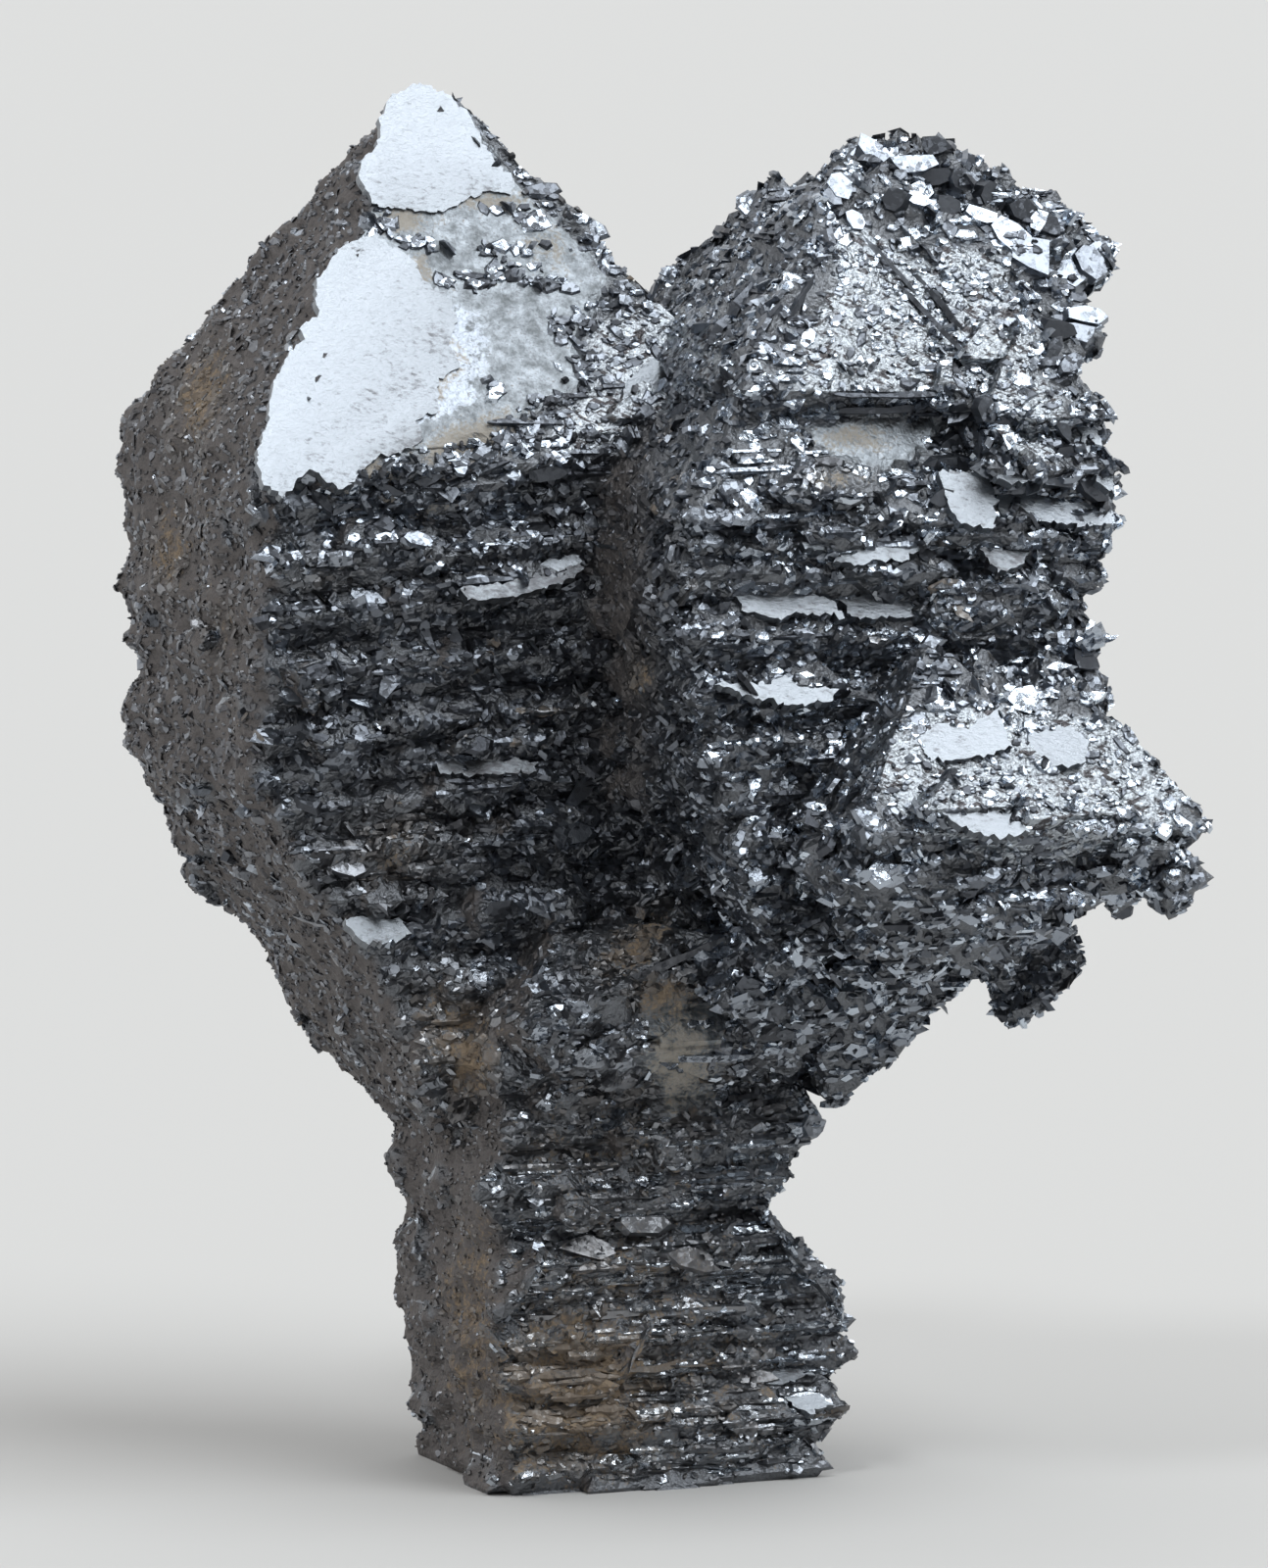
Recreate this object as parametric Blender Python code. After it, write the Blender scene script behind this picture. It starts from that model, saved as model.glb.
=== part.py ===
"""Hematite pseudomorph after magnetite, a cluster of stepped octahedra grown in parallel.

Metres, +Z up. X runs to the right of the front view and Y away from it. The cluster stands on
the flat break of its foot at Z = 0, with the origin under the middle of its box.

Every crystal is a run of octahedra set one on another, each a little smaller or shifted, so that
their edges make the level steps of the faces. Short ledges break up the steps, and plates and
small octahedra then grow on the whole surface, parallel to the faces of the octahedra.
"""
import bisect
import itertools
import math
import random

import bmesh
import bpy
from mathutils import Matrix, Vector

MM = 0.001

OBJECT_NAME = "hematite_after_magnetite"
NODE_NAME = "crystal_cluster"

# The crystals share one lattice, turned a little to the left of the front view.
LATTICE_YAW = math.radians(22.0)
FACE_DIP = math.radians(54.7356)
ALONG = Vector((math.cos(LATTICE_YAW), math.sin(LATTICE_YAW), 0.0))
ACROSS = Vector((-math.sin(LATTICE_YAW), math.cos(LATTICE_YAW), 0.0))
UP = Vector((0.0, 0.0, 1.0))
SIDES = (-ACROSS, -ALONG, ALONG, ACROSS)

# The steps of a run: how far apart they are, and how far each one strays.
STEP_PITCH = 1.1 * MM
STEP_WOBBLE = 0.14 * MM
LEDGE_HALF_AXIS = (0.40 * MM, 0.85 * MM)
LEDGE_LENGTH = (1.2, 3.4)
LEDGE_RISE = (0.05 * MM, 0.30 * MM)
LEDGES_PER_SIDE = (2, 1, 1, 1)

SMALL_CRYSTALS = 28
SMALL_HALF_AXIS = (0.35 * MM, 0.80 * MM)
PLATES = 40
PLATE_RADIUS = (0.35 * MM, 0.85 * MM)
PLATE_THICKNESS = (0.14 * MM, 0.26 * MM)
RIM_TAPER = 0.9

# Nothing grows on the smooth top of the upper left crystal, nor close to the break.
BARE_TOP_RIGHT_END = -1.2 * MM
BARE_TOP_HEIGHT = 21.6 * MM
BARE_FOOT_HEIGHT = 0.9 * MM

# Near corner of the upper right crystal's wide top face, and the way its laths lie.
RIGHT_TOP_CORNER = Vector((1.1, -3.0, 20.9)) * MM
TOWARDS_RIGHT_CORNER = (ALONG - ACROSS) / math.sqrt(2.0) - UP

# Heights of the two halves of the octahedra that are flatter than their lattice asks for.
FLAT_BELOW = (1.0, 0.64)
FLAT_ABOVE = (0.4, 1.1)

BREAK_BOX = 40.0 * MM
FLAT_ANGLE = math.radians(0.3)

HEMATITE_GREY = (0.115, 0.118, 0.124, 1.0)


def clear_scene():
    for old in list(bpy.data.objects):
        bpy.data.objects.remove(old, do_unlink=True)


def new_collection(name):
    collection = bpy.data.collections.new(name)
    bpy.context.scene.collection.children.link(collection)
    return collection


def face_normal(side, upward=1.0):
    """Outward direction of the octahedron's face above, or below, one side of its girdle."""
    return side * math.sin(FACE_DIP) + UP * math.cos(FACE_DIP) * upward


def centre_from_near_corner(corner, half_axis):
    """Centre of an octahedron whose near corner, the one towards the front, is given."""
    return corner + (ALONG + ACROSS) * half_axis / math.sqrt(2.0)


def link_mesh(collection, name, bm):
    mesh = bpy.data.meshes.new(name)
    bm.to_mesh(mesh)
    bm.free()
    thing = bpy.data.objects.new(name, mesh)
    thing.hide_render = True
    thing.display_type = "WIRE"
    collection.objects.link(thing)
    return thing


def add_octahedron(collection, centre, half_axis, lean=0.0, stretch=(1.0, 1.0), turn=0.0,
                   heights=(1.0, 1.0)):
    """An octahedron of the lattice, its girdle stretched along its sides.

    Heights under 1 make the upper or the lower half flatter.
    """
    bm = bmesh.new()
    bmesh.ops.create_uvsphere(bm, u_segments=4, v_segments=2, radius=half_axis)
    bmesh.ops.rotate(bm, matrix=Matrix.Rotation(math.radians(45.0), 3, "Z"), verts=bm.verts)
    bmesh.ops.scale(bm, vec=(*stretch, 1.0), verts=bm.verts)
    for vert in bm.verts:
        vert.co.z *= heights[0] if vert.co.z > 0.0 else heights[1]
    yaw = Matrix.Rotation(LATTICE_YAW + turn, 4, "Z")
    tilt = Matrix.Rotation(math.radians(-lean), 4, "Y")
    bm.transform(Matrix.Translation(centre) @ tilt @ yaw)
    return link_mesh(collection, "octahedron", bm)


def add_plate(collection, centre, normal, radius, thickness, spin=0.0, length=1.0):
    """A six-sided plate square to the normal, its rim bevelled one way, longer where length is over 1."""
    bm = bmesh.new()
    bmesh.ops.create_cone(bm, cap_ends=True, segments=6, radius1=radius, radius2=radius * RIM_TAPER,
                          depth=thickness)
    bmesh.ops.scale(bm, vec=(length, 1.0, 1.0), verts=bm.verts)
    turn = normal.to_track_quat("Z", "X").to_matrix().to_4x4()
    bm.transform(Matrix.Translation(centre) @ turn @ Matrix.Rotation(spin, 4, "Z"))
    return link_mesh(collection, "plate", bm)


def add_lath(collection, centre, normal, direction, size):
    """A long plate that lies along a direction. Size is its length, width and thickness."""
    bm = bmesh.new()
    bmesh.ops.create_cone(bm, cap_ends=True, segments=6, radius1=0.5, radius2=0.5 * RIM_TAPER, depth=1.0)
    bmesh.ops.scale(bm, vec=size, verts=bm.verts)
    direction = (direction - normal * direction.dot(normal)).normalized()
    frame = Matrix((direction, normal.cross(direction), normal)).transposed().to_4x4()
    bm.transform(Matrix.Translation(centre) @ frame)
    return link_mesh(collection, "lath", bm)


def add_ledges(collection, rng, centre, half_axis, lean):
    """Short ledges that stand out from one level's girdle, on all four sides."""
    apothem = half_axis / math.sqrt(2.0)
    for side, count in zip(SIDES, LEDGES_PER_SIDE):
        edge = UP.cross(side)
        for _ in range(count):
            size = rng.uniform(*LEDGE_HALF_AXIS)
            length = rng.uniform(*LEDGE_LENGTH)
            reach = max(0.0, apothem - size * length / math.sqrt(2.0) - LEDGE_RISE[1])
            spot = centre + side * (apothem - size / math.sqrt(2.0) + rng.uniform(*LEDGE_RISE))
            spot += edge * rng.uniform(-reach, reach)
            spot += UP * rng.uniform(-0.5, 0.5) * STEP_PITCH
            along_x = abs(edge.dot(ALONG)) > 0.5
            stretch = (length, 1.0) if along_x else (1.0, length)
            add_octahedron(collection, spot, size, lean, stretch, turn=rng.uniform(-0.04, 0.04))


def add_run(collection, rng, start, end, halves, pitch=STEP_PITCH, lean=0.0, heights=(1.0, 1.0)):
    """Octahedra from one near corner to another, their half axes going from halves[0] to [1].

    The corners and half axes are in millimetres.
    """
    start = Vector(start) * MM
    end = Vector(end) * MM
    levels = max(2, round((end - start).length / pitch) + 1)
    for level in range(levels):
        share = level / (levels - 1)
        half_axis = (halves[0] + (halves[1] - halves[0]) * share) * MM
        corner = start.lerp(end, share)
        for axis in range(3):
            corner[axis] += rng.uniform(-STEP_WOBBLE, STEP_WOBBLE)
        half_axis += rng.uniform(-STEP_WOBBLE, STEP_WOBBLE) * 0.6
        centre = centre_from_near_corner(corner, half_axis)
        add_octahedron(collection, centre, half_axis, lean, heights=heights)
        add_ledges(collection, rng, centre, half_axis, lean)


def upper_left_crystal(collection, rng):
    """The biggest octahedron: a wide flat top face over a stepped column and a long underside."""
    lean = 2.5
    top = centre_from_near_corner(Vector((-7.5, -1.3, 22.1)) * MM, 7.5 * MM)
    add_octahedron(collection, top, 7.5 * MM, lean)
    shoulder = ALONG * 0.9 * MM - ACROSS * 0.26 * MM - UP * 0.4 * MM
    add_octahedron(collection, top + shoulder, 7.5 * MM, lean)
    add_run(collection, rng, (-7.7, -1.3, 21.2), (-8.1, -1.2, 16.4), (7.3, 6.2), lean=lean)
    add_run(collection, rng, (-8.1, -0.9, 15.4), (-5.7, 0.3, 11.0), (6.1, 5.7), lean=lean)
    add_run(collection, rng, (-5.4, 0.3, 10.2), (-4.0, 0.4, 8.4), (5.2, 4.3), lean=lean)
    add_run(collection, rng, (-4.4, 0.3, 20.6), (-3.4, 0.8, 12.4), (5.6, 4.3), pitch=1.4 * MM, lean=lean)


def saddle_crystals(collection, rng):
    """The low crystals that fill the valley between the two tops."""
    add_run(collection, rng, (-2.2, 1.2, 21.0), (-0.9, 2.0, 21.3), (4.3, 4.0), pitch=1.1 * MM)


def upper_right_crystal(collection, rng):
    """The second big octahedron, leaning a little, with a long broken ridge."""
    add_run(collection, rng, (1.1, -3.0, 20.9), (1.2, -3.0, 20.3), (7.0, 6.7), lean=-3.0)
    add_run(collection, rng, (2.3, -1.6, 23.4), (5.1, 0.6, 24.5), (4.7, 3.5), pitch=1.2 * MM, lean=-3.0)
    add_run(collection, rng, (7.2, -0.6, 22.9), (7.3, -0.8, 21.9), (2.0, 2.0), lean=-3.0)
    add_run(collection, rng, (1.7, 2.6, 24.8), (2.4, 2.8, 25.2), (2.9, 2.5), lean=-3.0)
    add_run(collection, rng, (0.9, -3.0, 19.6), (1.3, -2.8, 15.8), (6.9, 6.5), lean=-3.0)
    add_run(collection, rng, (1.7, -2.4, 15.0), (2.6, -1.6, 12.4), (5.8, 4.6), lean=-3.0)


def lower_right_crystal(collection, rng):
    """The row of octahedra that comes furthest forward, under the upper right crystal."""
    add_run(collection, rng, (4.4, -5.0, 14.5), (7.0, -3.9, 14.3), (3.9, 3.7), pitch=1.3 * MM, heights=FLAT_BELOW)
    add_run(collection, rng, (4.2, -4.6, 13.6), (6.4, -3.4, 13.6), (3.3, 3.4), pitch=1.3 * MM, heights=FLAT_BELOW)
    add_run(collection, rng, (4.6, -1.2, 14.4), (6.2, -0.6, 14.1), (4.6, 4.2), pitch=1.6 * MM, heights=FLAT_BELOW)
    add_run(collection, rng, (4.2, -2.6, 12.4), (1.8, -0.8, 10.6), (2.8, 2.7), pitch=1.1 * MM, heights=FLAT_BELOW)
    add_octahedron(collection, Vector((11.0, -1.4, 13.3)) * MM, 0.9 * MM, turn=0.3)


def neck_crystals(collection, rng):
    """The narrow part between the big crystals and the foot, its ridge rising to the right."""
    ridge = centre_from_near_corner(Vector((-2.6, -1.4, 10.6)) * MM, 3.9 * MM)
    add_octahedron(collection, ridge, 3.9 * MM, lean=17.0, heights=FLAT_ABOVE)
    add_run(collection, rng, (-1.6, -0.6, 9.4), (1.4, 0.4, 10.4), (3.0, 3.0), pitch=1.4 * MM)
    add_run(collection, rng, (-3.1, -0.6, 9.0), (-3.1, -0.5, 6.6), (5.1, 4.8))
    add_run(collection, rng, (-1.4, 0.2, 9.0), (-0.6, 0.2, 7.6), (3.6, 3.4))


def foot_crystal(collection, rng):
    """The stepped column that the cluster stands on, cut off flat at its break."""
    add_run(collection, rng, (-3.1, -0.5, 6.0), (-3.1, -0.5, 3.4), (4.9, 4.8), lean=2.0)
    add_run(collection, rng, (-2.2, -0.2, 4.6), (-1.1, 0.3, 3.2), (4.5, 4.4), lean=2.0)
    add_run(collection, rng, (-3.1, -0.5, 2.7), (-2.7, -0.4, -0.6), (4.6, 4.0), lean=2.0)
    add_run(collection, rng, (-1.1, 0.3, 2.5), (-1.1, 0.3, 0.2), (4.4, 3.9), lean=2.0)


def right_top_point(x, z):
    """The point of the upper right crystal's top face at a given X and Z in millimetres."""
    normal = face_normal(-ACROSS)
    corner = RIGHT_TOP_CORNER
    y = corner.y - (normal.x * (x * MM - corner.x) + normal.z * (z * MM - corner.z)) / normal.y
    return Vector((x * MM, y, z * MM))


def ridge_crystals(collection, rng):
    """The blocky crystals along the broken ridge of the upper right crystal."""
    count = 9
    for step in range(count):
        share = step / (count - 1)
        spot = right_top_point(4.6 + 3.4 * share, 27.7 - 1.2 * share * share)
        spot.y += rng.uniform(-0.2, 0.8) * MM
        add_octahedron(collection, spot, rng.uniform(0.65, 1.0) * MM, turn=rng.uniform(-0.5, 0.5))


def rosette(collection, rng):
    """The thick plates that lie in a heap at the right end of the ridge."""
    for _ in range(9):
        spot = right_top_point(rng.uniform(8.0, 9.4), rng.uniform(24.6, 26.6))
        spot -= face_normal(-ACROSS) * rng.uniform(0.2, 0.9) * MM
        radius = rng.uniform(0.6, 1.0) * MM
        add_plate(collection, spot, face_normal(-ACROSS), radius, 0.38 * MM, rng.uniform(0.0, 1.0))


def laths(collection):
    """The long plates that stand on the upper right crystal's top face and beside the foot."""
    pair = (2.9 * MM, 0.9 * MM, 0.2 * MM)
    add_lath(collection, right_top_point(6.3, 25.0), face_normal(ALONG), TOWARDS_RIGHT_CORNER, pair)
    add_lath(collection, right_top_point(6.8, 25.2), face_normal(ALONG), TOWARDS_RIGHT_CORNER, pair)
    level = (4.4 * MM, 0.9 * MM, 0.22 * MM)
    add_lath(collection, right_top_point(5.2, 23.4), face_normal(-ACROSS, -1.0), ALONG, level)
    foot_edge = Vector((3.4, 1.8, 4.8)) * MM
    edge_size = (3.4 * MM, 1.0 * MM, 0.3 * MM)
    add_lath(collection, foot_edge, face_normal(ALONG), TOWARDS_RIGHT_CORNER, edge_size)


def hanging_plates(collection):
    """The thick plate that hangs under the lower right crystal, and a small one by the neck."""
    add_plate(collection, Vector((8.3, 0.6, 10.9)) * MM, face_normal(-ALONG), 1.25 * MM, 0.4 * MM, 0.4)
    add_plate(collection, Vector((8.1, 0.2, 11.6)) * MM, face_normal(-ACROSS, -1.0), 1.2 * MM, 0.5 * MM)
    add_plate(collection, Vector((3.6, 1.2, 8.2)) * MM, face_normal(-ACROSS), 0.62 * MM, 0.3 * MM)


def surface_spots(thing, rng, count):
    """Random points of a mesh, spread evenly over its area, each with the face's normal."""
    faces = [face for face in thing.data.polygons if face.center.z > BARE_FOOT_HEIGHT]
    totals = list(itertools.accumulate(face.area for face in faces))
    spots = []
    while len(spots) < count:
        face = faces[bisect.bisect_left(totals, rng.uniform(0.0, totals[-1]))]
        corners = [thing.data.vertices[index].co for index in face.vertices]
        second = rng.randrange(1, len(corners) - 1)
        a, b = sorted((rng.random(), rng.random()))
        point = corners[0] * a + corners[second] * (b - a) + corners[second + 1] * (1.0 - b)
        if point.z < BARE_TOP_HEIGHT or point.x > BARE_TOP_RIGHT_END:
            spots.append((point, face.normal.copy()))
    return spots


def grow_small_crystals(collection, rng, cluster):
    """Small octahedra sunk by about a third into the surface."""
    for point, normal in surface_spots(cluster, rng, SMALL_CRYSTALS):
        size = rng.uniform(*SMALL_HALF_AXIS)
        stretch = (rng.uniform(0.8, 2.0), 1.0)
        spot = point - normal * size / 3.0
        add_octahedron(collection, spot, size, stretch=stretch, turn=rng.uniform(-0.15, 0.15))


def grow_plates(collection, rng, cluster):
    """Plates that stand on edge, parallel to a face of the lattice that the surface isn't."""
    families = [face_normal(side, way) for side in SIDES for way in (1.0, -1.0)]
    for point, normal in surface_spots(cluster, rng, PLATES):
        family = rng.choice([way for way in families if abs(way.dot(normal)) < 0.8])
        radius = rng.uniform(*PLATE_RADIUS)
        spot = point - normal * radius * rng.uniform(0.35, 0.7)
        thickness = rng.uniform(*PLATE_THICKNESS)
        add_plate(collection, spot, family, radius, thickness, rng.uniform(0.0, 1.0), rng.uniform(1.0, 1.5))


def fuse(collection, name):
    """One closed mesh from everything in the collection, which is emptied."""
    things = list(collection.objects)
    seed = things[0]
    others = new_collection("others")
    for thing in things[1:]:
        others.objects.link(thing)
    union = seed.modifiers.new("grown together", "BOOLEAN")
    union.operation = "UNION"
    union.operand_type = "COLLECTION"
    union.collection = others
    mesh = evaluated_mesh(seed, name)
    for thing in things:
        bpy.data.objects.remove(thing, do_unlink=True)
    bpy.data.collections.remove(others)
    return mesh


def evaluated_mesh(thing, name):
    bpy.context.view_layer.update()
    depsgraph = bpy.context.evaluated_depsgraph_get()
    mesh = bpy.data.meshes.new_from_object(thing.evaluated_get(depsgraph))
    mesh.name = name
    return mesh


def grow_masses(collection):
    """Each big crystal fused on its own, as one object of the collection."""
    makers = (upper_left_crystal, saddle_crystals, upper_right_crystal, lower_right_crystal,
              neck_crystals, foot_crystal)
    for number, maker in enumerate(makers):
        parts = new_collection(maker.__name__)
        maker(parts, random.Random(1501 + number))
        mesh = fuse(parts, maker.__name__)
        bpy.data.collections.remove(parts)
        collection.objects.link(bpy.data.objects.new(maker.__name__, mesh))


def grow_details(collection, cluster):
    rng = random.Random(77)
    collection.objects.link(cluster)
    ridge_crystals(collection, rng)
    rosette(collection, rng)
    laths(collection)
    hanging_plates(collection)
    grow_small_crystals(collection, rng, cluster)
    grow_plates(collection, rng, cluster)


def break_off_foot(cluster):
    """Cuts the foot flat at Z = 0."""
    bm = bmesh.new()
    bmesh.ops.create_cube(bm, size=BREAK_BOX)
    bmesh.ops.translate(bm, vec=(0.0, 0.0, -BREAK_BOX / 2.0), verts=bm.verts)
    cutters = new_collection("cutters")
    cutter = link_mesh(cutters, "break", bm)
    cut = cluster.modifiers.new("break", "BOOLEAN")
    cut.operation = "DIFFERENCE"
    cut.object = cutter
    mesh = evaluated_mesh(cluster, NODE_NAME)
    bpy.data.objects.remove(cutter, do_unlink=True)
    bpy.data.collections.remove(cutters)
    return mesh


def keep_outer_skin(mesh):
    """Removes the walls of pockets that the crystals seal inside the cluster."""
    bm = bmesh.new()
    bm.from_mesh(mesh)
    shells = []
    unseen = set(bm.faces)
    while unseen:
        shell = [unseen.pop()]
        for face in shell:
            for edge in face.edges:
                fresh = [near for near in edge.link_faces if near in unseen]
                unseen.difference_update(fresh)
                shell.extend(fresh)
        shells.append(shell)
    shells.sort(key=len)
    inner = [face for shell in shells[:-1] for face in shell]
    bmesh.ops.delete(bm, geom=inner, context="FACES")
    bmesh.ops.dissolve_limit(bm, angle_limit=FLAT_ANGLE, verts=bm.verts, edges=bm.edges)
    bm.to_mesh(mesh)
    bm.free()


def centre_over_origin(mesh):
    """Puts the middle of the box over the origin."""
    low = [min(vertex.co[axis] for vertex in mesh.vertices) for axis in range(2)]
    high = [max(vertex.co[axis] for vertex in mesh.vertices) for axis in range(2)]
    shift = Vector((-(low[0] + high[0]) / 2.0, -(low[1] + high[1]) / 2.0, 0.0))
    mesh.transform(Matrix.Translation(shift))


def hematite_material():
    material = bpy.data.materials.new("hematite")
    material.use_nodes = True
    shader = material.node_tree.nodes["Principled BSDF"]
    shader.inputs["Base Color"].default_value = HEMATITE_GREY
    shader.inputs["Metallic"].default_value = 0.9
    shader.inputs["Roughness"].default_value = 0.35
    return material


def build():
    clear_scene()
    work = new_collection("work")
    grow_masses(work)
    cluster = bpy.data.objects.new(NODE_NAME, fuse(work, NODE_NAME))
    grow_details(work, cluster)
    cluster = bpy.data.objects.new(NODE_NAME, fuse(work, NODE_NAME))
    bpy.data.collections.remove(work)
    home = new_collection(OBJECT_NAME)
    home.objects.link(cluster)
    mesh = break_off_foot(cluster)
    cluster.modifiers.clear()
    cluster.data = mesh
    keep_outer_skin(mesh)
    centre_over_origin(mesh)
    mesh.materials.clear()
    mesh.materials.append(hematite_material())


build()
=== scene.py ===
import math

import bpy
import numpy as np
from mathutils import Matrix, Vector
from mathutils.bvhtree import BVHTree


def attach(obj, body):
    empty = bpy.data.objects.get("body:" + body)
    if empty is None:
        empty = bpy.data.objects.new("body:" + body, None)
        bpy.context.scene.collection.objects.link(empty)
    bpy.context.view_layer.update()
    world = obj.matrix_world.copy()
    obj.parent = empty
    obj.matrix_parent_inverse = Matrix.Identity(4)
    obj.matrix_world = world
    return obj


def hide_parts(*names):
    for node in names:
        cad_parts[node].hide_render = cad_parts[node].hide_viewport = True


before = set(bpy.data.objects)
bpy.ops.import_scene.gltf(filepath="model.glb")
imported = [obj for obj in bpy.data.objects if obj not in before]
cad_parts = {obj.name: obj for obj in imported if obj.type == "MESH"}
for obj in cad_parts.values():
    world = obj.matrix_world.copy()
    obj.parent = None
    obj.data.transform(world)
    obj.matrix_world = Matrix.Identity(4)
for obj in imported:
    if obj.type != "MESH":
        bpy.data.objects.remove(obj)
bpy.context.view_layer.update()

MM = 0.001

# Camera: the photograph is 1294 x 1600 and shows 0.0207 mm of the crystals in each pixel.
PHOTO_WIDTH = 1294
PHOTO_HEIGHT = 1600
PIXEL = 0.02072 * MM
VIEW_DISTANCE = 270 * MM
VIEW_DOWN = math.radians(7)
VIEW_TARGET = Vector((-0.30 * MM, 0, 14.6 * MM))
FOCAL_PIXELS = VIEW_DISTANCE / PIXEL
SENSOR_HEIGHT = 24

# The lattice that every crystal of the cluster shares.
LATTICE_YAW = math.radians(22)
FACE_DIP = math.radians(54.7356)
ALONG = np.array((math.cos(LATTICE_YAW), math.sin(LATTICE_YAW), 0))
ACROSS = np.array((-math.sin(LATTICE_YAW), math.cos(LATTICE_YAW), 0))
UP = np.array((0, 0, 1))
SIDES = (-ACROSS, ALONG, ACROSS, -ALONG)

# Surface of the grown body.
LONGEST_EDGE = 0.31 * MM
REFINE_ROUNDS = 9

# How many sides the plates of each piece have, and how many plates it holds.
PLATE_PIECES = ((6, 9200), (6, 9200), (5, 11800), (4, 9500))
STEP_COUNT = 3000
PLATE_SEED = 4100
STEP_SEED = 4200
# The median half length of a plate and of a growth step in mm, its spread, and the longest.
PLATE_LENGTHS = (0.18, 0.46, 0.48)
STEP_LENGTHS = (0.45, 0.5, 1.2)
STEP_OVERHANG = 0.07 * MM
LOWEST = 0.004 * MM
LAYER_LIFT = 0.06 * MM
LEDGE_LIFT = 0.16 * MM
LAYER_THICKNESS = 0.22 * MM
FOOT_TOP = 8.0 * MM
FOOT_BLEND = 1.0 * MM
# Heights on the left crystal's left ridge, and how far along the lattice it lies there, in mm.
RIDGE_HEIGHTS = (8, 13, 22, 29.5)
RIDGE_ALONG = (-2.5, -6.5, -6.8, -3.2)
# A face whose cosine with the bright plane is above this counts as level with it.
LEVEL_WITH = 0.975
# A layer with more corners than this lies on a face, and one with fewer on a ledge.
LEDGE_CORNERS = 12
# In pixels of the photograph.
RIM_SPACING = 4
RIM_RAGGEDNESS = 1.5
ZONE_EDGE = 40


def face_normal(side, upward):
    """The outward direction of an octahedron face."""
    flat = math.sin(FACE_DIP) * side
    return flat + (math.cos(FACE_DIP) if upward else -math.cos(FACE_DIP)) * UP


FAMILIES = np.array([face_normal(side, True) for side in SIDES])


def deselect():
    for shown in bpy.context.selected_objects:
        shown.select_set(False)


def pick(piece):
    """Leaves one object selected and active."""
    deselect()
    piece.select_set(True)
    bpy.context.view_layer.objects.active = piece


def camera_axes():
    """The camera's place and its right, up and forward directions."""
    back = Vector((0, -math.cos(VIEW_DOWN), math.sin(VIEW_DOWN)))
    place = VIEW_TARGET + back * VIEW_DISTANCE
    up = Vector((0, math.sin(VIEW_DOWN), math.cos(VIEW_DOWN)))
    return place, Vector((1, 0, 0)), up, -back


def in_photo(points):
    """Where points of the object lie in the photograph's frame, in pixels from its top left."""
    place, right, up, forward = (np.array(axis) for axis in camera_axes())
    ray = points - place
    depth = ray @ forward
    across = PHOTO_WIDTH / 2 + FOCAL_PIXELS * (ray @ right) / depth
    down = PHOTO_HEIGHT / 2 - FOCAL_PIXELS * (ray @ up) / depth
    return np.stack((across, down), axis=1)


def facing_camera(points, normals):
    """How much a surface looks at the camera, as the cosine of the angle."""
    place = np.array(camera_axes()[0])
    ray = place - points
    return np.einsum("ij,ij->i", ray, normals) / np.linalg.norm(ray, axis=1)


def outline_depth(spots, outline):
    """How far inside an outline each spot lies, in pixels, and less than nothing outside it."""
    corners = np.array(outline, float)
    inside = np.zeros(len(spots), bool)
    nearest = np.full(len(spots), 1e9)
    for start, end in zip(corners, np.roll(corners, -1, axis=0)):
        edge = end - start
        step = np.clip((spots - start) @ edge / (edge @ edge), 0, 1)
        gap = spots - start - step[:, None] * edge
        nearest = np.minimum(nearest, np.hypot(gap[:, 0], gap[:, 1]))
        crosses = (start[1] > spots[:, 1]) != (end[1] > spots[:, 1])
        rise = edge[1] if edge[1] else 1e-9
        reach = start[0] + (spots[:, 1] - start[1]) / rise * edge[0]
        inside ^= crosses & (spots[:, 0] < reach)
    return np.where(inside, nearest, -nearest)


def airbrushed(spots, puffs):
    """The strongest of some soft oval puffs at each spot. A puff is x, y, half width, half height,
    turn and strength."""
    strongest = np.zeros(len(spots))
    for x, y, half_width, half_height, turn, strength in puffs:
        angle = math.radians(turn)
        gap = spots - (x, y)
        along = (gap[:, 0] * math.cos(angle) + gap[:, 1] * math.sin(angle)) / half_width
        across = (gap[:, 1] * math.cos(angle) - gap[:, 0] * math.sin(angle)) / half_height
        strongest = np.maximum(strongest, strength * np.exp(-(along**2 + across**2)))
    return strongest


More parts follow.
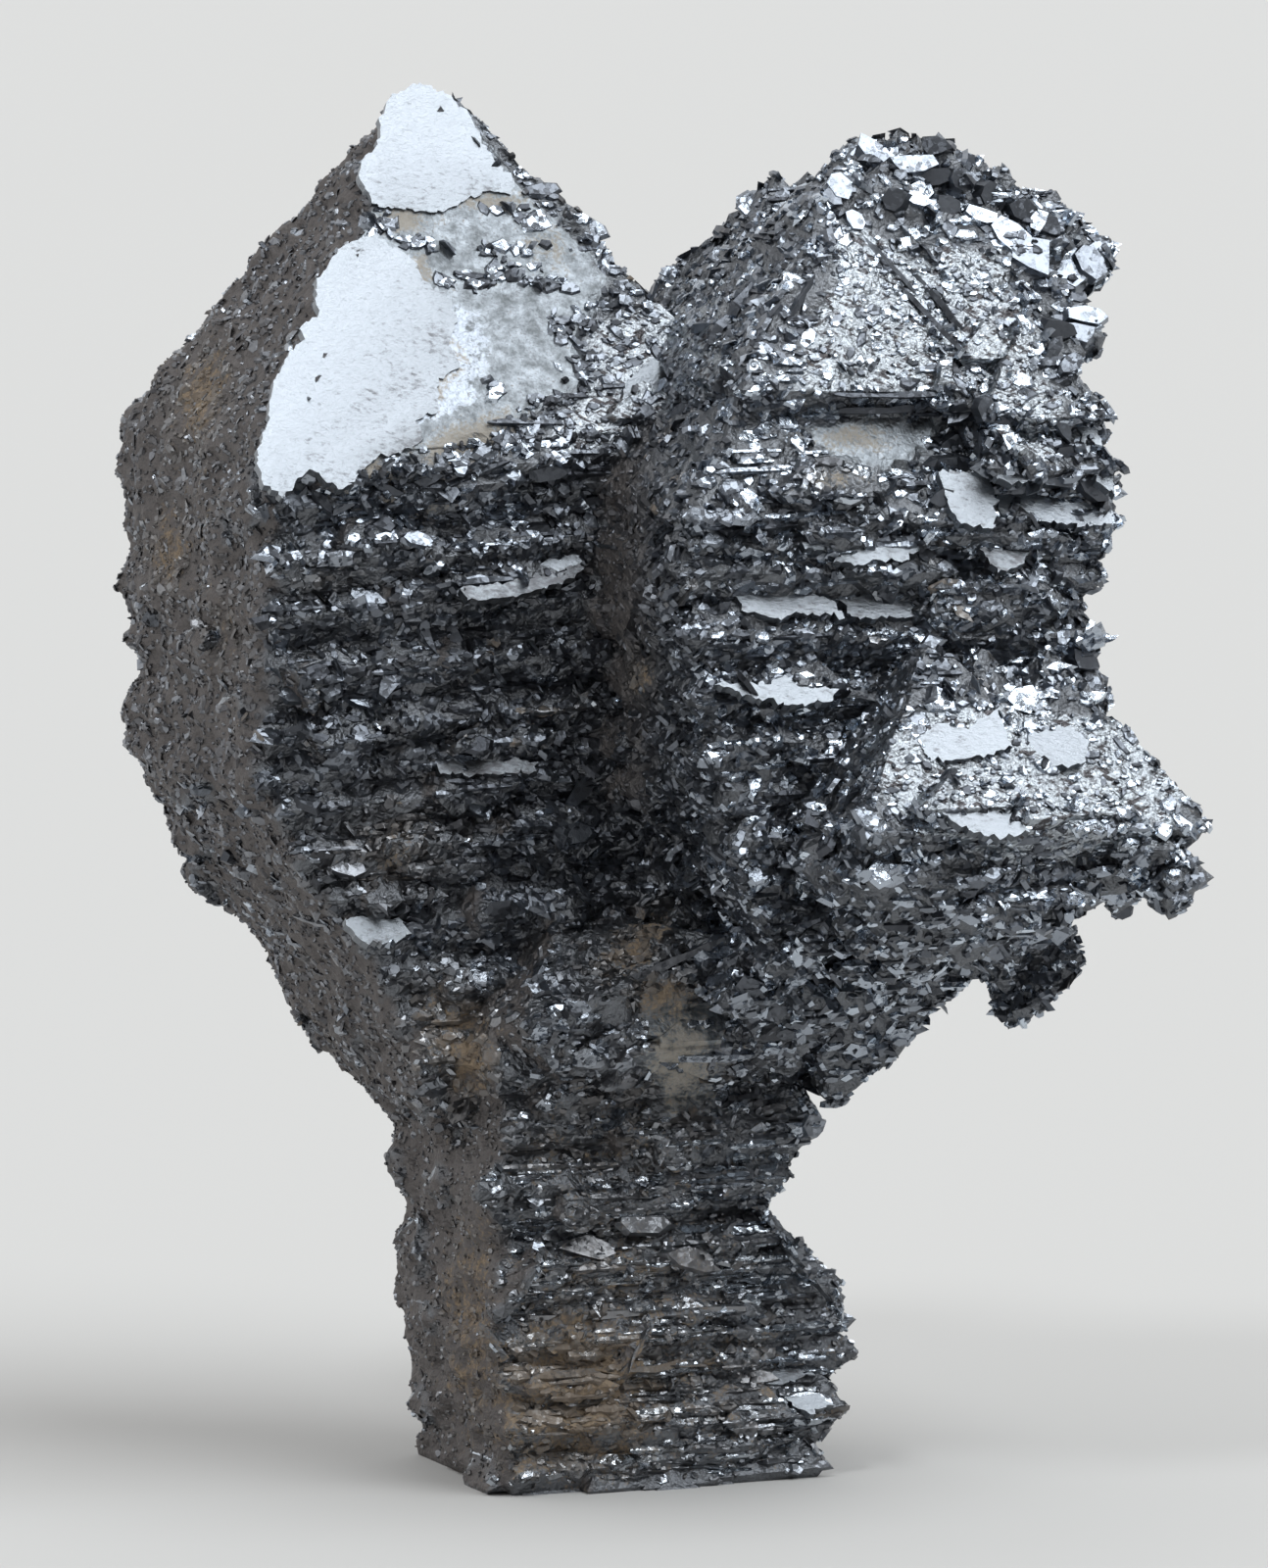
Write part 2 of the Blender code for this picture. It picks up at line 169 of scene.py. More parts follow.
# Clean bright growth layers with ragged rims, outlined in the photograph's pixels, with their shine.
BRIGHT_LAYERS = (
    (
        1.0, (400, 96), (425, 84), (452, 94), (480, 116), (499, 156), (526, 184), (520, 198),
        (495, 196), (470, 208), (440, 216), (400, 212), (380, 206), (374, 192), (364, 180), (372, 160),
        (386, 148), (388, 120),
    ),
    (
        1.0, (368, 242), (385, 238), (398, 250), (420, 262), (432, 285), (455, 300), (466, 326),
        (458, 350), (470, 372), (446, 392), (450, 415), (425, 430), (432, 452), (380, 470), (350, 500),
        (318, 478), (300, 490), (290, 510), (268, 492), (262, 470), (268, 440), (275, 425), (280, 390),
        (297, 355), (310, 348), (306, 335), (325, 318), (322, 288), (335, 270), (345, 255),
    ),
    (
        0.9, (635, 395), (660, 370), (690, 360), (705, 372), (690, 400), (650, 418), (638, 412),
    ),
    (
        0.9, (1090, 388), (1100, 395), (1120, 440), (1132, 475), (1138, 505), (1120, 490), (1105, 450),
        (1092, 420),
    ),
    (
        0.7, (958, 480), (1010, 482), (1016, 510), (1015, 540), (985, 535), (968, 520),
    ),
    (
        0.95, (1015, 505), (1060, 503), (1100, 512), (1137, 522), (1135, 536), (1100, 535), (1050, 532),
        (1022, 528),
    ),
    (
        0.9, (1013, 484), (1030, 478), (1056, 480), (1056, 490), (1030, 492),
    ),
    (
        0.9, (930, 748), (958, 738), (985, 744), (1018, 724), (1026, 745), (1034, 760), (1005, 772),
        (950, 776),
    ),
    (
        1.0, (1052, 748), (1090, 742), (1112, 757), (1106, 776), (1090, 784), (1072, 780), (1050, 765),
    ),
    (
        0.8, (960, 828), (1000, 820), (1036, 832), (1050, 848), (1020, 856), (980, 842),
    ),
    (
        0.7, (350, 937), (375, 933), (410, 938), (420, 952), (400, 962), (368, 960),
    ),
    (
        0.4, (470, 600), (500, 596), (560, 588), (590, 574), (596, 582), (560, 600), (500, 612),
        (474, 610),
    ),
    (
        0.75, (545, 580), (560, 568), (590, 565), (592, 574), (570, 584),
    ),
    (
        0.45, (445, 780), (500, 774), (550, 776), (548, 786), (500, 790), (450, 790),
    ),
    (
        0.7, (748, 605), (760, 593), (785, 603), (815, 600), (850, 612), (862, 628), (825, 626),
        (790, 630), (760, 622),
    ),
    (
        0.6, (858, 612), (890, 607), (930, 612), (950, 620), (940, 632), (905, 628), (870, 632),
    ),
    (
        0.8, (730, 697), (780, 695), (800, 690), (830, 700), (855, 703), (845, 716), (810, 719),
        (770, 713),
    ),
    (
        0.6, (850, 572), (865, 557), (885, 560), (910, 553), (940, 558), (920, 574), (895, 570),
        (880, 576),
    ),
    (
        0.7, (815, 553), (845, 550), (840, 560), (820, 560),
    ),
    (
        0.5, (1000, 560), (1020, 550), (1048, 550), (1048, 575), (1020, 584),
    ),
    (
        0.9, (800, 1428), (835, 1420), (850, 1432), (825, 1442),
    ),
    (
        0.6, (740, 1402), (800, 1396), (830, 1402), (790, 1414),
    ),
)
# Clean faces that shine like a mirror.
MIRROR_OUTLINES = (
    (
        (400, 96), (425, 84), (452, 94), (480, 116), (499, 156), (530, 184), (545, 205), (505, 212),
        (470, 216), (440, 222), (400, 215), (380, 208), (374, 192), (364, 180), (372, 160), (386, 148),
        (388, 120),
    ),
    (
        (368, 242), (385, 238), (398, 250), (430, 262), (450, 285), (500, 300), (540, 330), (530, 380),
        (500, 430), (450, 456), (380, 468), (350, 495), (318, 478), (300, 490), (290, 506), (268, 492),
        (262, 470), (268, 440), (275, 425), (280, 390), (297, 355), (310, 348), (306, 335), (325, 318),
        (322, 288), (335, 270), (345, 255),
    ),
)
# Where the shine of those faces is worn away, in soft puffs.
WEAR_PUFFS = (
    (540, 350, 85, 110, 20, 1.0),
    (500, 290, 70, 36, 0, 0.9),
    (470, 450, 110, 44, -15, 0.9),
    (330, 515, 60, 34, 0, 0.55),
    (520, 215, 60, 34, 20, 0.5),
    (410, 225, 44, 22, 0, 0.6),
)
# Smooth faces that are greyer, with pale dust.
SATIN_OUTLINES = (
    (
        (395, 105), (430, 84), (480, 118), (538, 195), (602, 252), (622, 288), (590, 345), (596, 395),
        (545, 422), (500, 444), (440, 460), (385, 472), (350, 500), (318, 486), (300, 502), (284, 506),
        (262, 480), (268, 440), (300, 350), (322, 290), (345, 252), (368, 200),
    ),
    (
        (825, 432), (955, 428), (960, 440), (935, 470), (900, 480), (860, 470), (830, 455),
    ),
    (
        (655, 1022), (690, 1012), (728, 1030), (738, 1060), (722, 1085), (730, 1110), (705, 1140),
        (680, 1132), (668, 1100), (650, 1085), (660, 1050),
    ),
)
# Bright faces that are broken up by a fine mosaic of pits and small plates.
MOSAIC_OUTLINES = (
    (
        (862, 222), (885, 222), (900, 245), (935, 262), (960, 245), (1000, 255), (1025, 265),
        (1030, 290), (1065, 330), (1055, 380), (1090, 400), (1080, 430), (1060, 440), (1085, 470),
        (1060, 475), (1010, 455), (1022, 420), (1000, 395), (960, 395), (850, 400), (800, 400),
        (810, 380), (835, 320), (850, 290), (850, 250),
    ),
    (
        (600, 330), (700, 300), (740, 310), (730, 400), (650, 440), (560, 470), (560, 430), (600, 400),
    ),
    (
        (880, 735), (1000, 715), (1140, 735), (1215, 800), (1190, 860), (1060, 890), (930, 850),
        (890, 800),
    ),
)
# Brown limonite in the hollows, and thinly over the foot, where the wide puffs also lighten the foot as
# painted light.
LIMONITE_AND_PAINTED_LIGHT_PUFFS = (
    (205, 405, 26, 60, 20, 0.75),
    (172, 560, 22, 48, 0, 0.65),
    (225, 640, 25, 50, 0, 0.4),
    (480, 1080, 30, 50, 0, 0.8),
    (460, 1050, 60, 50, 45, 0.6),
    (650, 965, 60, 30, -35, 0.6),
    (680, 1020, 45, 30, 0, 0.7),
    # painted light: these wide puffs over the foot are partly real limonite and partly there to lighten
    # the foot
    (590, 1420, 120, 120, 0, 0.75),
    (700, 1400, 190, 130, 0, 0.42),
    (620, 1300, 130, 60, 0, 0.45),
    (480, 1350, 35, 150, 0, 0.6),
    (560, 1180, 60, 60, 0, 0.4),
    (400, 870, 60, 50, 0, 0.4),
    (330, 590, 40, 20, 0, 0.3),
    (655, 690, 15, 25, 0, 0.6),
    (850, 490, 30, 15, 0, 0.5),
    (640, 1180, 180, 110, 0, 0.35),
    (640, 1340, 230, 190, 0, 0.4),
)
# Pale beige dust that lies on the smooth faces. The last puff, on the neck's downward face, is a
# painted reflection of a mid-grey, not dust.
DUST_AND_PAINTED_REFLECTION_PUFFS = (
    (410, 225, 30, 14, 0, 0.8),
    (500, 205, 40, 10, 0, 0.7),
    (430, 275, 14, 30, 0, 0.6),
    (445, 380, 25, 40, 30, 0.6),
    (480, 450, 60, 25, -20, 0.8),
    (370, 480, 40, 25, 0, 0.8),
    (400, 515, 45, 14, 0, 0.8),
    (560, 250, 30, 20, 40, 0.5),
    (872, 447, 44, 13, 0, 0.65),
    (850, 490, 30, 10, 0, 0.6),
    # painted reflection: a pale coat on the neck's downward face stands in for the mid-grey it reflects
    (695, 1080, 40, 60, 0, 0.75),
)
# Clumps of dark plates that stand on the smooth faces.
CLUMP_PUFFS = (
    (372, 196, 10, 14, 0, 1.0),
    (388, 228, 14, 16, 40, 1.0),
    (430, 250, 34, 7, 5, 1.0),
    (478, 286, 34, 10, 0, 1.0),
    (525, 218, 30, 12, 10, 0.9),
    (525, 256, 45, 9, -5, 0.9),
    (548, 284, 36, 10, 10, 1.0),
    (590, 335, 34, 22, 0, 1.0),
    (600, 378, 26, 26, 0, 0.9),
    (640, 312, 40, 12, 0, 0.9),
    (500, 395, 16, 9, 40, 0.5),
    (450, 380, 8, 5, 0, 0.4),
    (560, 420, 44, 16, -20, 1.0),
    (520, 450, 50, 14, -20, 1.0),
    (440, 474, 60, 10, -14, 1.0),
    (390, 488, 44, 10, -8, 1.0),
    (430, 505, 50, 14, -10, 0.8),
    (330, 505, 26, 12, 40, 0.8),
    (300, 515, 40, 10, 20, 0.8),
    (380, 515, 50, 12, -5, 0.7),
    (480, 490, 60, 12, -12, 0.7),
)
# Painted shade: where the plates get less shine and so a darker colour, in the stepped front and in the
# groove beside it.
PAINTED_SHADE_PUFFS = (
    (430, 760, 200, 200, 0, 0.9),
    (630, 700, 75, 330, 0, 1.3),
)
ZONES = (("mirror", MIRROR_OUTLINES), ("satin", SATIN_OUTLINES), ("mosaic", MOSAIC_OUTLINES))


def drift(points, size, phase):
    """A soft wandering pattern through the body, from -1 to 1."""
    waves = np.sin(points @ np.array(((1, 0.6, -0.3), (-0.5, 1, 0.7), (0.3, -0.8, 1))).T / size + phase)
    return waves.sum(axis=1) / 2


def deepest(spots, outlines):
    """How far inside the nearest of several outlines each spot lies, in pixels."""
    return np.max([outline_depth(spots, outline) for outline in outlines], axis=0)


def zones(points, normals):
    """The finishes at some places of the surface, each a number for each place."""
    spots = in_photo(points)
    looking = np.clip((facing_camera(points, normals) - 0.05) / 0.15, 0, 1)
    found = {}
    for name, outlines in ZONES:
        depth = np.clip(deepest(spots, outlines), -ZONE_EDGE, ZONE_EDGE)
        found[name] = depth / ZONE_EDGE - 2 * (1 - looking)
    found["mirror"] = found["mirror"] - 1.25 * airbrushed(spots, WEAR_PUFFS)
    # limonite, and over the foot also painted light that lightens it
    found["limonite_and_light"] = airbrushed(spots, LIMONITE_AND_PAINTED_LIGHT_PUFFS) * looking
    # pale dust, and on the neck's downward face a painted reflection
    found["dust_and_painted_reflection"] = airbrushed(spots, DUST_AND_PAINTED_REFLECTION_PUFFS) * looking
    found["clump"] = airbrushed(spots, CLUMP_PUFFS) * looking
    # painted shade: the dark puffs mark where plates are darkened, in the stepped front and the groove
    found["dark"] = airbrushed(spots, PAINTED_SHADE_PUFFS) * looking
    found["matt"] = np.clip((normals @ -ALONG - 0.35) / 0.3, 0, 1)
    found["matt"] = found["matt"] * np.clip((0.4 * MM - points[:, 0]) / MM, 0, 1)
    left_ridge = np.interp(points[:, 2] / MM, RIDGE_HEIGHTS, RIDGE_ALONG) * MM
    at_left = np.clip((left_ridge - points @ ALONG) / MM, 0, 1)
    found["calm"] = np.maximum(found["matt"], np.clip((normals @ ACROSS - 0.1) / 0.3, 0, 1) * at_left)
    for name, _ in ZONES:
        found[name] = found[name] - 2 * found["matt"]
    cleaner = np.clip(1.4 * normals[:, 2] - 0.9 + 0.7 * drift(points, 0.9 * MM, 1.0), -1, 1)
    found["mosaic"] = np.where(looking > 0, found["mosaic"], cleaner)
    stained = 0.5 * np.clip(drift(points, 1.1 * MM, 4.0) - 0.1, 0, 1)
    found["limonite_and_light"] = np.where(looking > 0, found["limonite_and_light"], stained)
    return found


def store(mesh, name, values):
    """Keeps one number for each vertex, which the materials read by name."""
    layer = mesh.attributes.new(name, "FLOAT", "POINT")
    layer.data.foreach_set("value", np.asarray(values, np.float32))


def vertex_places(mesh):
    flat = np.zeros(len(mesh.vertices) * 3, np.float32)
    mesh.vertices.foreach_get("co", flat)
    return flat.reshape(-1, 3).astype(float)


def vertex_normals(mesh):
    flat = np.zeros(len(mesh.vertices) * 3, np.float32)
    mesh.vertex_normals.foreach_get("vector", flat)
    return flat.reshape(-1, 3).astype(float)


def refine(piece):
    """Cuts every long edge in half until the faces are small, and keeps the crisp edges."""
    pick(piece)
    bpy.context.tool_settings.mesh_select_mode = (False, True, False)
    for _ in range(REFINE_ROUNDS):
        mesh = piece.data
        ends = np.zeros(len(mesh.edges) * 2, np.int32)
        mesh.edges.foreach_get("vertices", ends)
        places = vertex_places(mesh)[ends].reshape(-1, 2, 3)
        lengths = np.linalg.norm(places[:, 0] - places[:, 1], axis=1)
        long = lengths > LONGEST_EDGE
        if not long.any():
            break
        mesh.vertices.foreach_set("select", np.zeros(len(mesh.vertices), bool))
        mesh.polygons.foreach_set("select", np.zeros(len(mesh.polygons), bool))
        mesh.edges.foreach_set("select", long)
        bpy.ops.object.mode_set(mode="EDIT")
        bpy.ops.mesh.subdivide(number_cuts=1)
        bpy.ops.mesh.select_all(action="SELECT")
        bpy.ops.mesh.quads_convert_to_tris(quad_method="SHORTEST_DIAGONAL")
        bpy.ops.mesh.beautify_fill(angle_limit=math.radians(0.5))
        bpy.ops.object.mode_set(mode="OBJECT")


def roughen(piece, name, kind, size, strength, group, **settings):
    """Pushes the surface in and out by a procedural pattern, where the vertex group lets it."""
    texture = bpy.data.textures.new(name, type=kind)
    texture.noise_scale = size
    for key, value in settings.items():
        setattr(texture, key, value)
    modifier = piece.modifiers.new(name, "DISPLACE")
    modifier.texture = texture
    modifier.texture_coords = "LOCAL"
    modifier.mid_level = 0.5
    modifier.strength = strength
    modifier.vertex_group = group
    pick(piece)
    bpy.ops.object.modifier_apply(modifier=name)


def paint_group(piece, name, weights):
    """A vertex group with these weights, in tenths."""
    group = piece.vertex_groups.new(name=name)
    for level in range(1, 11):
        chosen = np.nonzero(np.round(weights * 10) == level)[0].tolist()
        group.add(chosen, level / 10, "REPLACE")


def grown_body():
    """The cluster itself: the CAD solid with its faces etched and its ledges made ragged."""
    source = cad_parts["crystal_cluster"]
    body = bpy.data.objects.new("etched_crystal_cluster", source.data.copy())
    bpy.context.scene.collection.objects.link(body)
    pick(body)
    bpy.ops.object.mode_set(mode="EDIT")
    bpy.ops.mesh.select_all(action="SELECT")
    bpy.ops.mesh.remove_doubles(threshold=0.002 * MM)
    bpy.ops.mesh.customdata_custom_splitnormals_clear()
    bpy.ops.object.mode_set(mode="OBJECT")
    refine(body)
    mesh = body.data
    places = vertex_places(mesh)
    normals = vertex_normals(mesh)
    finish = zones(places, normals)
    for name, values in finish.items():
        store(mesh, name, values)
    flat = np.maximum(0.93 * inside_of(finish, "satin", 0.25), 0.55 * inside_of(finish, "mosaic", 0.3))
    standing = np.clip((places[:, 2] - 0.05 * MM) / (0.35 * MM), 0, 1)
    loose = (1 - flat) * standing
    paint_group(body, "etched", loose)
    worn = finish["calm"] * loose
    tip = np.linalg.norm(places - places[places[:, 2].argmax()], axis=1)
    paint_group(body, "worn", np.maximum(worn, np.clip(1.3 - tip / (0.8 * MM), 0, 1)))
    soften = body.modifiers.new("soften", "SMOOTH")
    soften.factor = 0.5
    soften.iterations = 60
    soften.vertex_group = "worn"
    pick(body)
    bpy.ops.object.modifier_apply(modifier="soften")
    roughen(body, "swell", "CLOUDS", 1.3 * MM, 0.5 * MM, "etched", noise_depth=1)
    roughen(body, "blocks", "VORONOI", 0.55 * MM, 0.22 * MM, "etched", distance_metric="CHEBYCHEV")
    roughen(body, "grit", "CLOUDS", 0.22 * MM, 0.16 * MM, "etched", noise_depth=2)
    body.data.materials.clear()
    body.data.shade_flat()
    return body


# Each small crystal is modelled once, about one unit in size, and copied into joined meshes.
def tabular_crystal(name, corners, rim):
    """One hematite plate: a flat prism whose upper face is drawn in, so that its rim is bevelled."""
    deselect()
    bpy.ops.mesh.primitive_cylinder_add(vertices=corners, radius=1, depth=1, end_fill_type="NGON")
    plate = bpy.context.object
    plate.name = name
    bpy.ops.object.mode_set(mode="EDIT")
    bpy.ops.mesh.select_all(action="DESELECT")
    bpy.ops.object.mode_set(mode="OBJECT")
    for face in plate.data.polygons:
        face.select = face.normal.z > 0.5
    bpy.context.tool_settings.mesh_select_mode = (False, False, True)
    bpy.ops.object.mode_set(mode="EDIT")
    bpy.ops.transform.resize(value=(rim, rim, 1))
    bpy.ops.object.mode_set(mode="OBJECT")
    return plate


def growth_step(name, cuts):
    """One step of an octahedron face: a long bar with a lozenge section, cut across its length."""
    deselect()
    bpy.ops.mesh.primitive_cylinder_add(
        vertices=4, radius=1, depth=2, end_fill_type="NGON", rotation=(0, math.pi / 2, 0)
    )
    bar = bpy.context.object
    bar.name = name
    bpy.ops.object.transform_apply(rotation=True)
    bpy.context.tool_settings.mesh_select_mode = (False, True, False)
    bpy.ops.object.mode_set(mode="EDIT")
    bpy.ops.mesh.select_all(action="DESELECT")
    bpy.ops.object.mode_set(mode="OBJECT")
    places = vertex_places(bar.data)
    for edge in bar.data.edges:
        ends = places[list(edge.vertices)]
        edge.select = abs(ends[0, 0] - ends[1, 0]) > 1
    bpy.ops.object.mode_set(mode="EDIT")
    bpy.ops.mesh.subdivide(number_cuts=cuts)
    bpy.ops.object.mode_set(mode="OBJECT")
    return bar


def own_cells(mesh, faces, count):
    """A UV map that gives every face of every copy a cell of its own, so that each can be baked."""
    rows = math.ceil(math.sqrt(count * len(faces)))
    cell = np.repeat(np.arange(len(faces)), [len(face) for face in faces])
    turn = np.array([2 * math.pi * index / len(face) for face in faces for index in range(len(face))])
    cell = (np.arange(count)[:, None] * len(faces) + cell).reshape(-1)
    turn = np.tile(turn, count)
    across = (cell % rows + 0.5 + 0.4 * np.cos(turn)) / rows
    down = (cell // rows + 0.5 + 0.4 * np.sin(turn)) / rows
    layer = mesh.uv_layers.new(name="OFBake")
    layer.data.foreach_set("uv", np.stack((across, down), axis=1).reshape(-1).astype(np.float32))


def joined_copies(name, pattern, shapes, turns, places):
    """One mesh that holds a copy of the pattern at every place, each with its own outline."""
    faces = [list(face.vertices) for face in pattern.data.polygons]
    moved = np.einsum("nij,nkj->nki", turns, shapes) + places[:, None]
    moved[:, :, 2] = np.maximum(moved[:, :, 2], LOWEST)
    count = len(places)
    corner = np.array([index for face in faces for index in face], np.int32)
    totals = np.array([len(face) for face in faces], np.int32)
    starts = np.concatenate(([0], np.cumsum(totals)[:-1])).astype(np.int32)
    copies = np.arange(count, dtype=np.int32)[:, None]
    mesh = bpy.data.meshes.new(name)
    mesh.vertices.add(count * shapes.shape[1])
    mesh.vertices.foreach_set("co", moved.reshape(-1).astype(np.float32))
    mesh.loops.add(count * len(corner))
    mesh.loops.foreach_set("vertex_index", (corner + copies * shapes.shape[1]).reshape(-1))
    mesh.polygons.add(count * len(faces))
    mesh.polygons.foreach_set("loop_start", (starts + copies * len(corner)).reshape(-1))
    mesh.update(calc_edges=True)
    mesh.shade_flat()
    own_cells(mesh, faces, count)
    joined = bpy.data.objects.new(name, mesh)
    bpy.context.scene.collection.objects.link(joined)
    return joined


def uneven_plates(pattern, count, rng, unevenness):
    """Copies of a plate, each with its corners drawn in or out."""
    points = vertex_places(pattern.data)
    angle = np.round(np.degrees(np.arctan2(points[:, 1], points[:, 0]))).astype(int)
    corner = np.unique(angle, return_inverse=True)[1].reshape(-1)
    reach = rng.uniform(1 - unevenness, 1 + 0.4 * unevenness, (count, corner.max() + 1))[:, corner]
    shapes = np.repeat(points[None], count, axis=0)
    shapes[:, :, :2] *= reach[:, :, None]
    return shapes


def uneven_steps(pattern, count, rng):
    """Copies of a growth step, each with a ragged crest and thinner ends."""
    points = vertex_places(pattern.data)
    ring = np.unique(np.round(points[:, 0], 3), return_inverse=True)[1].reshape(-1)
    last = ring.max()
    stout = rng.uniform(0.55, 1.15, (count, last + 1))
    stout[:, 0] *= rng.uniform(0.1, 0.7, count)
    stout[:, last] *= rng.uniform(0.1, 0.7, count)
    sway = rng.normal(0, 0.32, (count, last + 1))
    shapes = np.repeat(points[None], count, axis=0)
    shapes[:, :, 1:] *= stout[:, ring, None]
    shapes[:, :, 1] += sway[:, ring]
    return shapes


def triangle_soup(mesh):
    """The corners, centres, outward directions and areas of a mesh of triangles."""
    places = vertex_places(mesh)
    corners = np.zeros(len(mesh.polygons) * 3, np.int32)
    mesh.polygons.foreach_get("vertices", corners)
    soup = places[corners].reshape(-1, 3, 3)
    cross = np.cross(soup[:, 1] - soup[:, 0], soup[:, 2] - soup[:, 0])
    size = np.linalg.norm(cross, axis=1)
    normals = cross / np.maximum(size, 1e-15)[:, None]
    return soup, soup.mean(axis=1), normals, size / 2


def unit(vectors):
    return vectors / np.linalg.norm(vectors, axis=-1, keepdims=True)


def foot_share(places):
    """1 in the foot and 0 above it, with a soft edge."""
    return np.clip((FOOT_TOP - places[:, 2]) / FOOT_BLEND, 0, 1)


def inside_of(finish, name, softness):
    """0 outside an outlined zone and 1 inside it, with a soft edge."""
    return np.clip(finish[name] / softness + 0.5, 0, 1)


def growth_spots(soup, weights, count, rng):
    """Random places on the body, more of them where the weights are high."""
    corners, _, normals, _ = soup
    chosen = rng.choice(len(weights), count, p=weights / weights.sum())
    mix = rng.random((count, 2))
    over = mix.sum(axis=1) > 1
    mix[over] = 1 - mix[over]
    first = corners[chosen]
    places = first[:, 0] + mix[:, :1] * (first[:, 1] - first[:, 0])
    places = places + mix[:, 1:] * (first[:, 2] - first[:, 0])
    return places, normals[chosen]


def grown_lengths(median, spread, longest, count, rng):
    """Random lengths, most of them short and a few long."""
    return np.minimum(np.exp(rng.normal(math.log(median), spread, count)), longest)


def keep_finish(joined, places, outward, shine, each):
    """Stores the finish of every copy on its own vertices."""
    for key, values in zones(places, outward).items():
        store(joined.data, key, np.repeat(values, each))
    store(joined.data, "shine", np.repeat(shine, each))


def druse(soup, finish, pattern, name, count, rng):
    """Many small plates grown on the body, each parallel to one of the lattice's faces."""
    smooth = inside_of(finish, "satin", 0.2)
    mosaic = inside_of(finish, "mosaic", 0.3) * (1 - smooth)
    in_foot = foot_share(soup[1])
    density = (1 - smooth) * (1 + 0.2 * mosaic) * (1 + 0.5 * finish["calm"]) * (1 - 0.35 * in_foot)
    density = np.maximum(density, 4 * finish["clump"] - 0.8)
    density = density * (soup[1][:, 2] > 0.2 * MM)
    places, outward = growth_spots(soup, soup[3] * density, count, rng)
    here = zones(places, outward)
    on_mosaic = inside_of(here, "mosaic", 0.3)
    calm = here["calm"][:, None]
    small = np.maximum(0.7 * on_mosaic, here["calm"])
    lean = np.abs(outward @ FAMILIES.T)
    nearest = lean.argmax(axis=1)
    lies_flat = rng.random(count) < 0.55 + 0.2 * on_mosaic
    family = np.where(lies_flat, nearest, rng.integers(0, 4, count))
    face = FAMILIES[family]
    face = face * np.sign(np.einsum("ij,ij->i", face, outward))[:, None]
    face = face * (1 - 0.8 * calm) + outward * 0.8 * calm
    tilt = 0.11 - 0.05 * on_mosaic + 0.14 * here["calm"]
    face = unit(face + rng.normal(0, 1, (count, 3)) * tilt[:, None])
    level = unit(np.cross(face, UP))
    turn = rng.choice((0, math.pi / 3, -math.pi / 3), count, p=(0.7, 0.15, 0.15))
    turn = turn + rng.normal(0, 0.14, count)
    beside = np.cross(face, level)
    long = level * np.cos(turn)[:, None] + beside * np.sin(turn)[:, None]
    wide = np.cross(face, long)
    low = foot_share(places)
    length = grown_lengths(*PLATE_LENGTHS, count, rng)
    length = length * (1 - 0.45 * small) * (1 - 0.3 * low) * MM
    width = length * rng.uniform(0.38, 0.85, count)
    thick = rng.uniform(0.05, 0.12, count) * (1 - 0.35 * small) * MM
    turns = np.stack((long * length[:, None], wide * width[:, None], face * thick[:, None]), axis=2)
    standing = 1 - np.abs(np.einsum("ij,ij->i", face, outward))
    rise = 0.15 * thick + standing * length * (rng.uniform(-0.55, 0.1, count) - 0.25 * here["calm"])
    places = places + outward * rise[:, None]
    shapes = uneven_plates(pattern, count, rng, unevenness=0.4)
    joined = joined_copies(name, pattern, shapes, turns, places)
    at_right = np.clip(places[:, 0] / (2 * MM), 0, 1)
    # less shine under the dark puffs: painted shade in the stepped front and the groove
    shine = rng.random(count) ** (1 - 0.3 * np.maximum(on_mosaic, at_right)) * (1 - 0.7 * here["dark"])
    keep_finish(joined, places, outward, shine, shapes.shape[1])
    return joined


def reach_on_surface(tree, place, run, length):
    """How much of a length from a place along a direction still lies on the body."""
    for share in (1.0, 0.8, 0.6, 0.4, 0.2):
        if tree.find_nearest(Vector(place + run * length * share), STEP_OVERHANG)[0] is not None:
            return share
    return 0.05


def steps(tree, soup, finish, pattern, name, count, rng):
    """Ragged growth steps that run level along the body's faces and end where the faces end."""
    smooth = inside_of(finish, "satin", 0.2)
    smooth = np.maximum(smooth, inside_of(finish, "mosaic", 0.2))
    in_foot = foot_share(soup[1])
    steep = np.clip(1.3 - np.abs(soup[2][:, 2]), 0, 1)
    density = (1 - smooth) * (1 + 1.2 * in_foot) * (1 - finish["calm"]) ** 2 * steep
    density = density * (soup[1][:, 2] > 0.3 * MM)
    places, outward = growth_spots(soup, soup[3] * density, count, rng)
    facing = outward @ np.array(SIDES).T
    side = facing.argmax(axis=1)
    out = unit(np.array(SIDES)[side] + rng.normal(0, 0.05, (count, 3)) * (1, 1, 0))
    run = unit(np.cross(UP, out) + rng.normal(0, 0.02, (count, 3)))
    rise = np.cross(out, run)
    low = foot_share(places)
    length = grown_lengths(*STEP_LENGTHS, count, rng) * (1 + 0.8 * low) * MM
    height = np.exp(rng.normal(math.log(0.085), 0.35, count)) * (1 - 0.15 * low) * MM
    proud = height * rng.uniform(0.7, 1.3, count)
    ahead = np.array([reach_on_surface(tree, *spot) for spot in zip(places, run, length)])
    behind = np.array([reach_on_surface(tree, *spot) for spot in zip(places, -run, length)])
    places = places + run * (length * (ahead - behind) / 2)[:, None]
    length = length * (ahead + behind) / 2
    turns = np.stack((run * length[:, None], out * proud[:, None], rise * height[:, None]), axis=2)
    shapes = uneven_steps(pattern, count, rng)
    joined = joined_copies(name, pattern, shapes, turns, places)
    # painted shade: the steps in the stepped front and the groove get less shine and so a darker colour
    painted_shade = 0.5 * airbrushed(in_photo(places), PAINTED_SHADE_PUFFS)
    # painted light: the steps in the foot get more shine, so that the foot is lighter
    shine = np.clip(rng.random(count) + 0.35 * low, 0, 1) * (1 - painted_shade)
    keep_finish(joined, places, outward, shine, shapes.shape[1])
    return joined


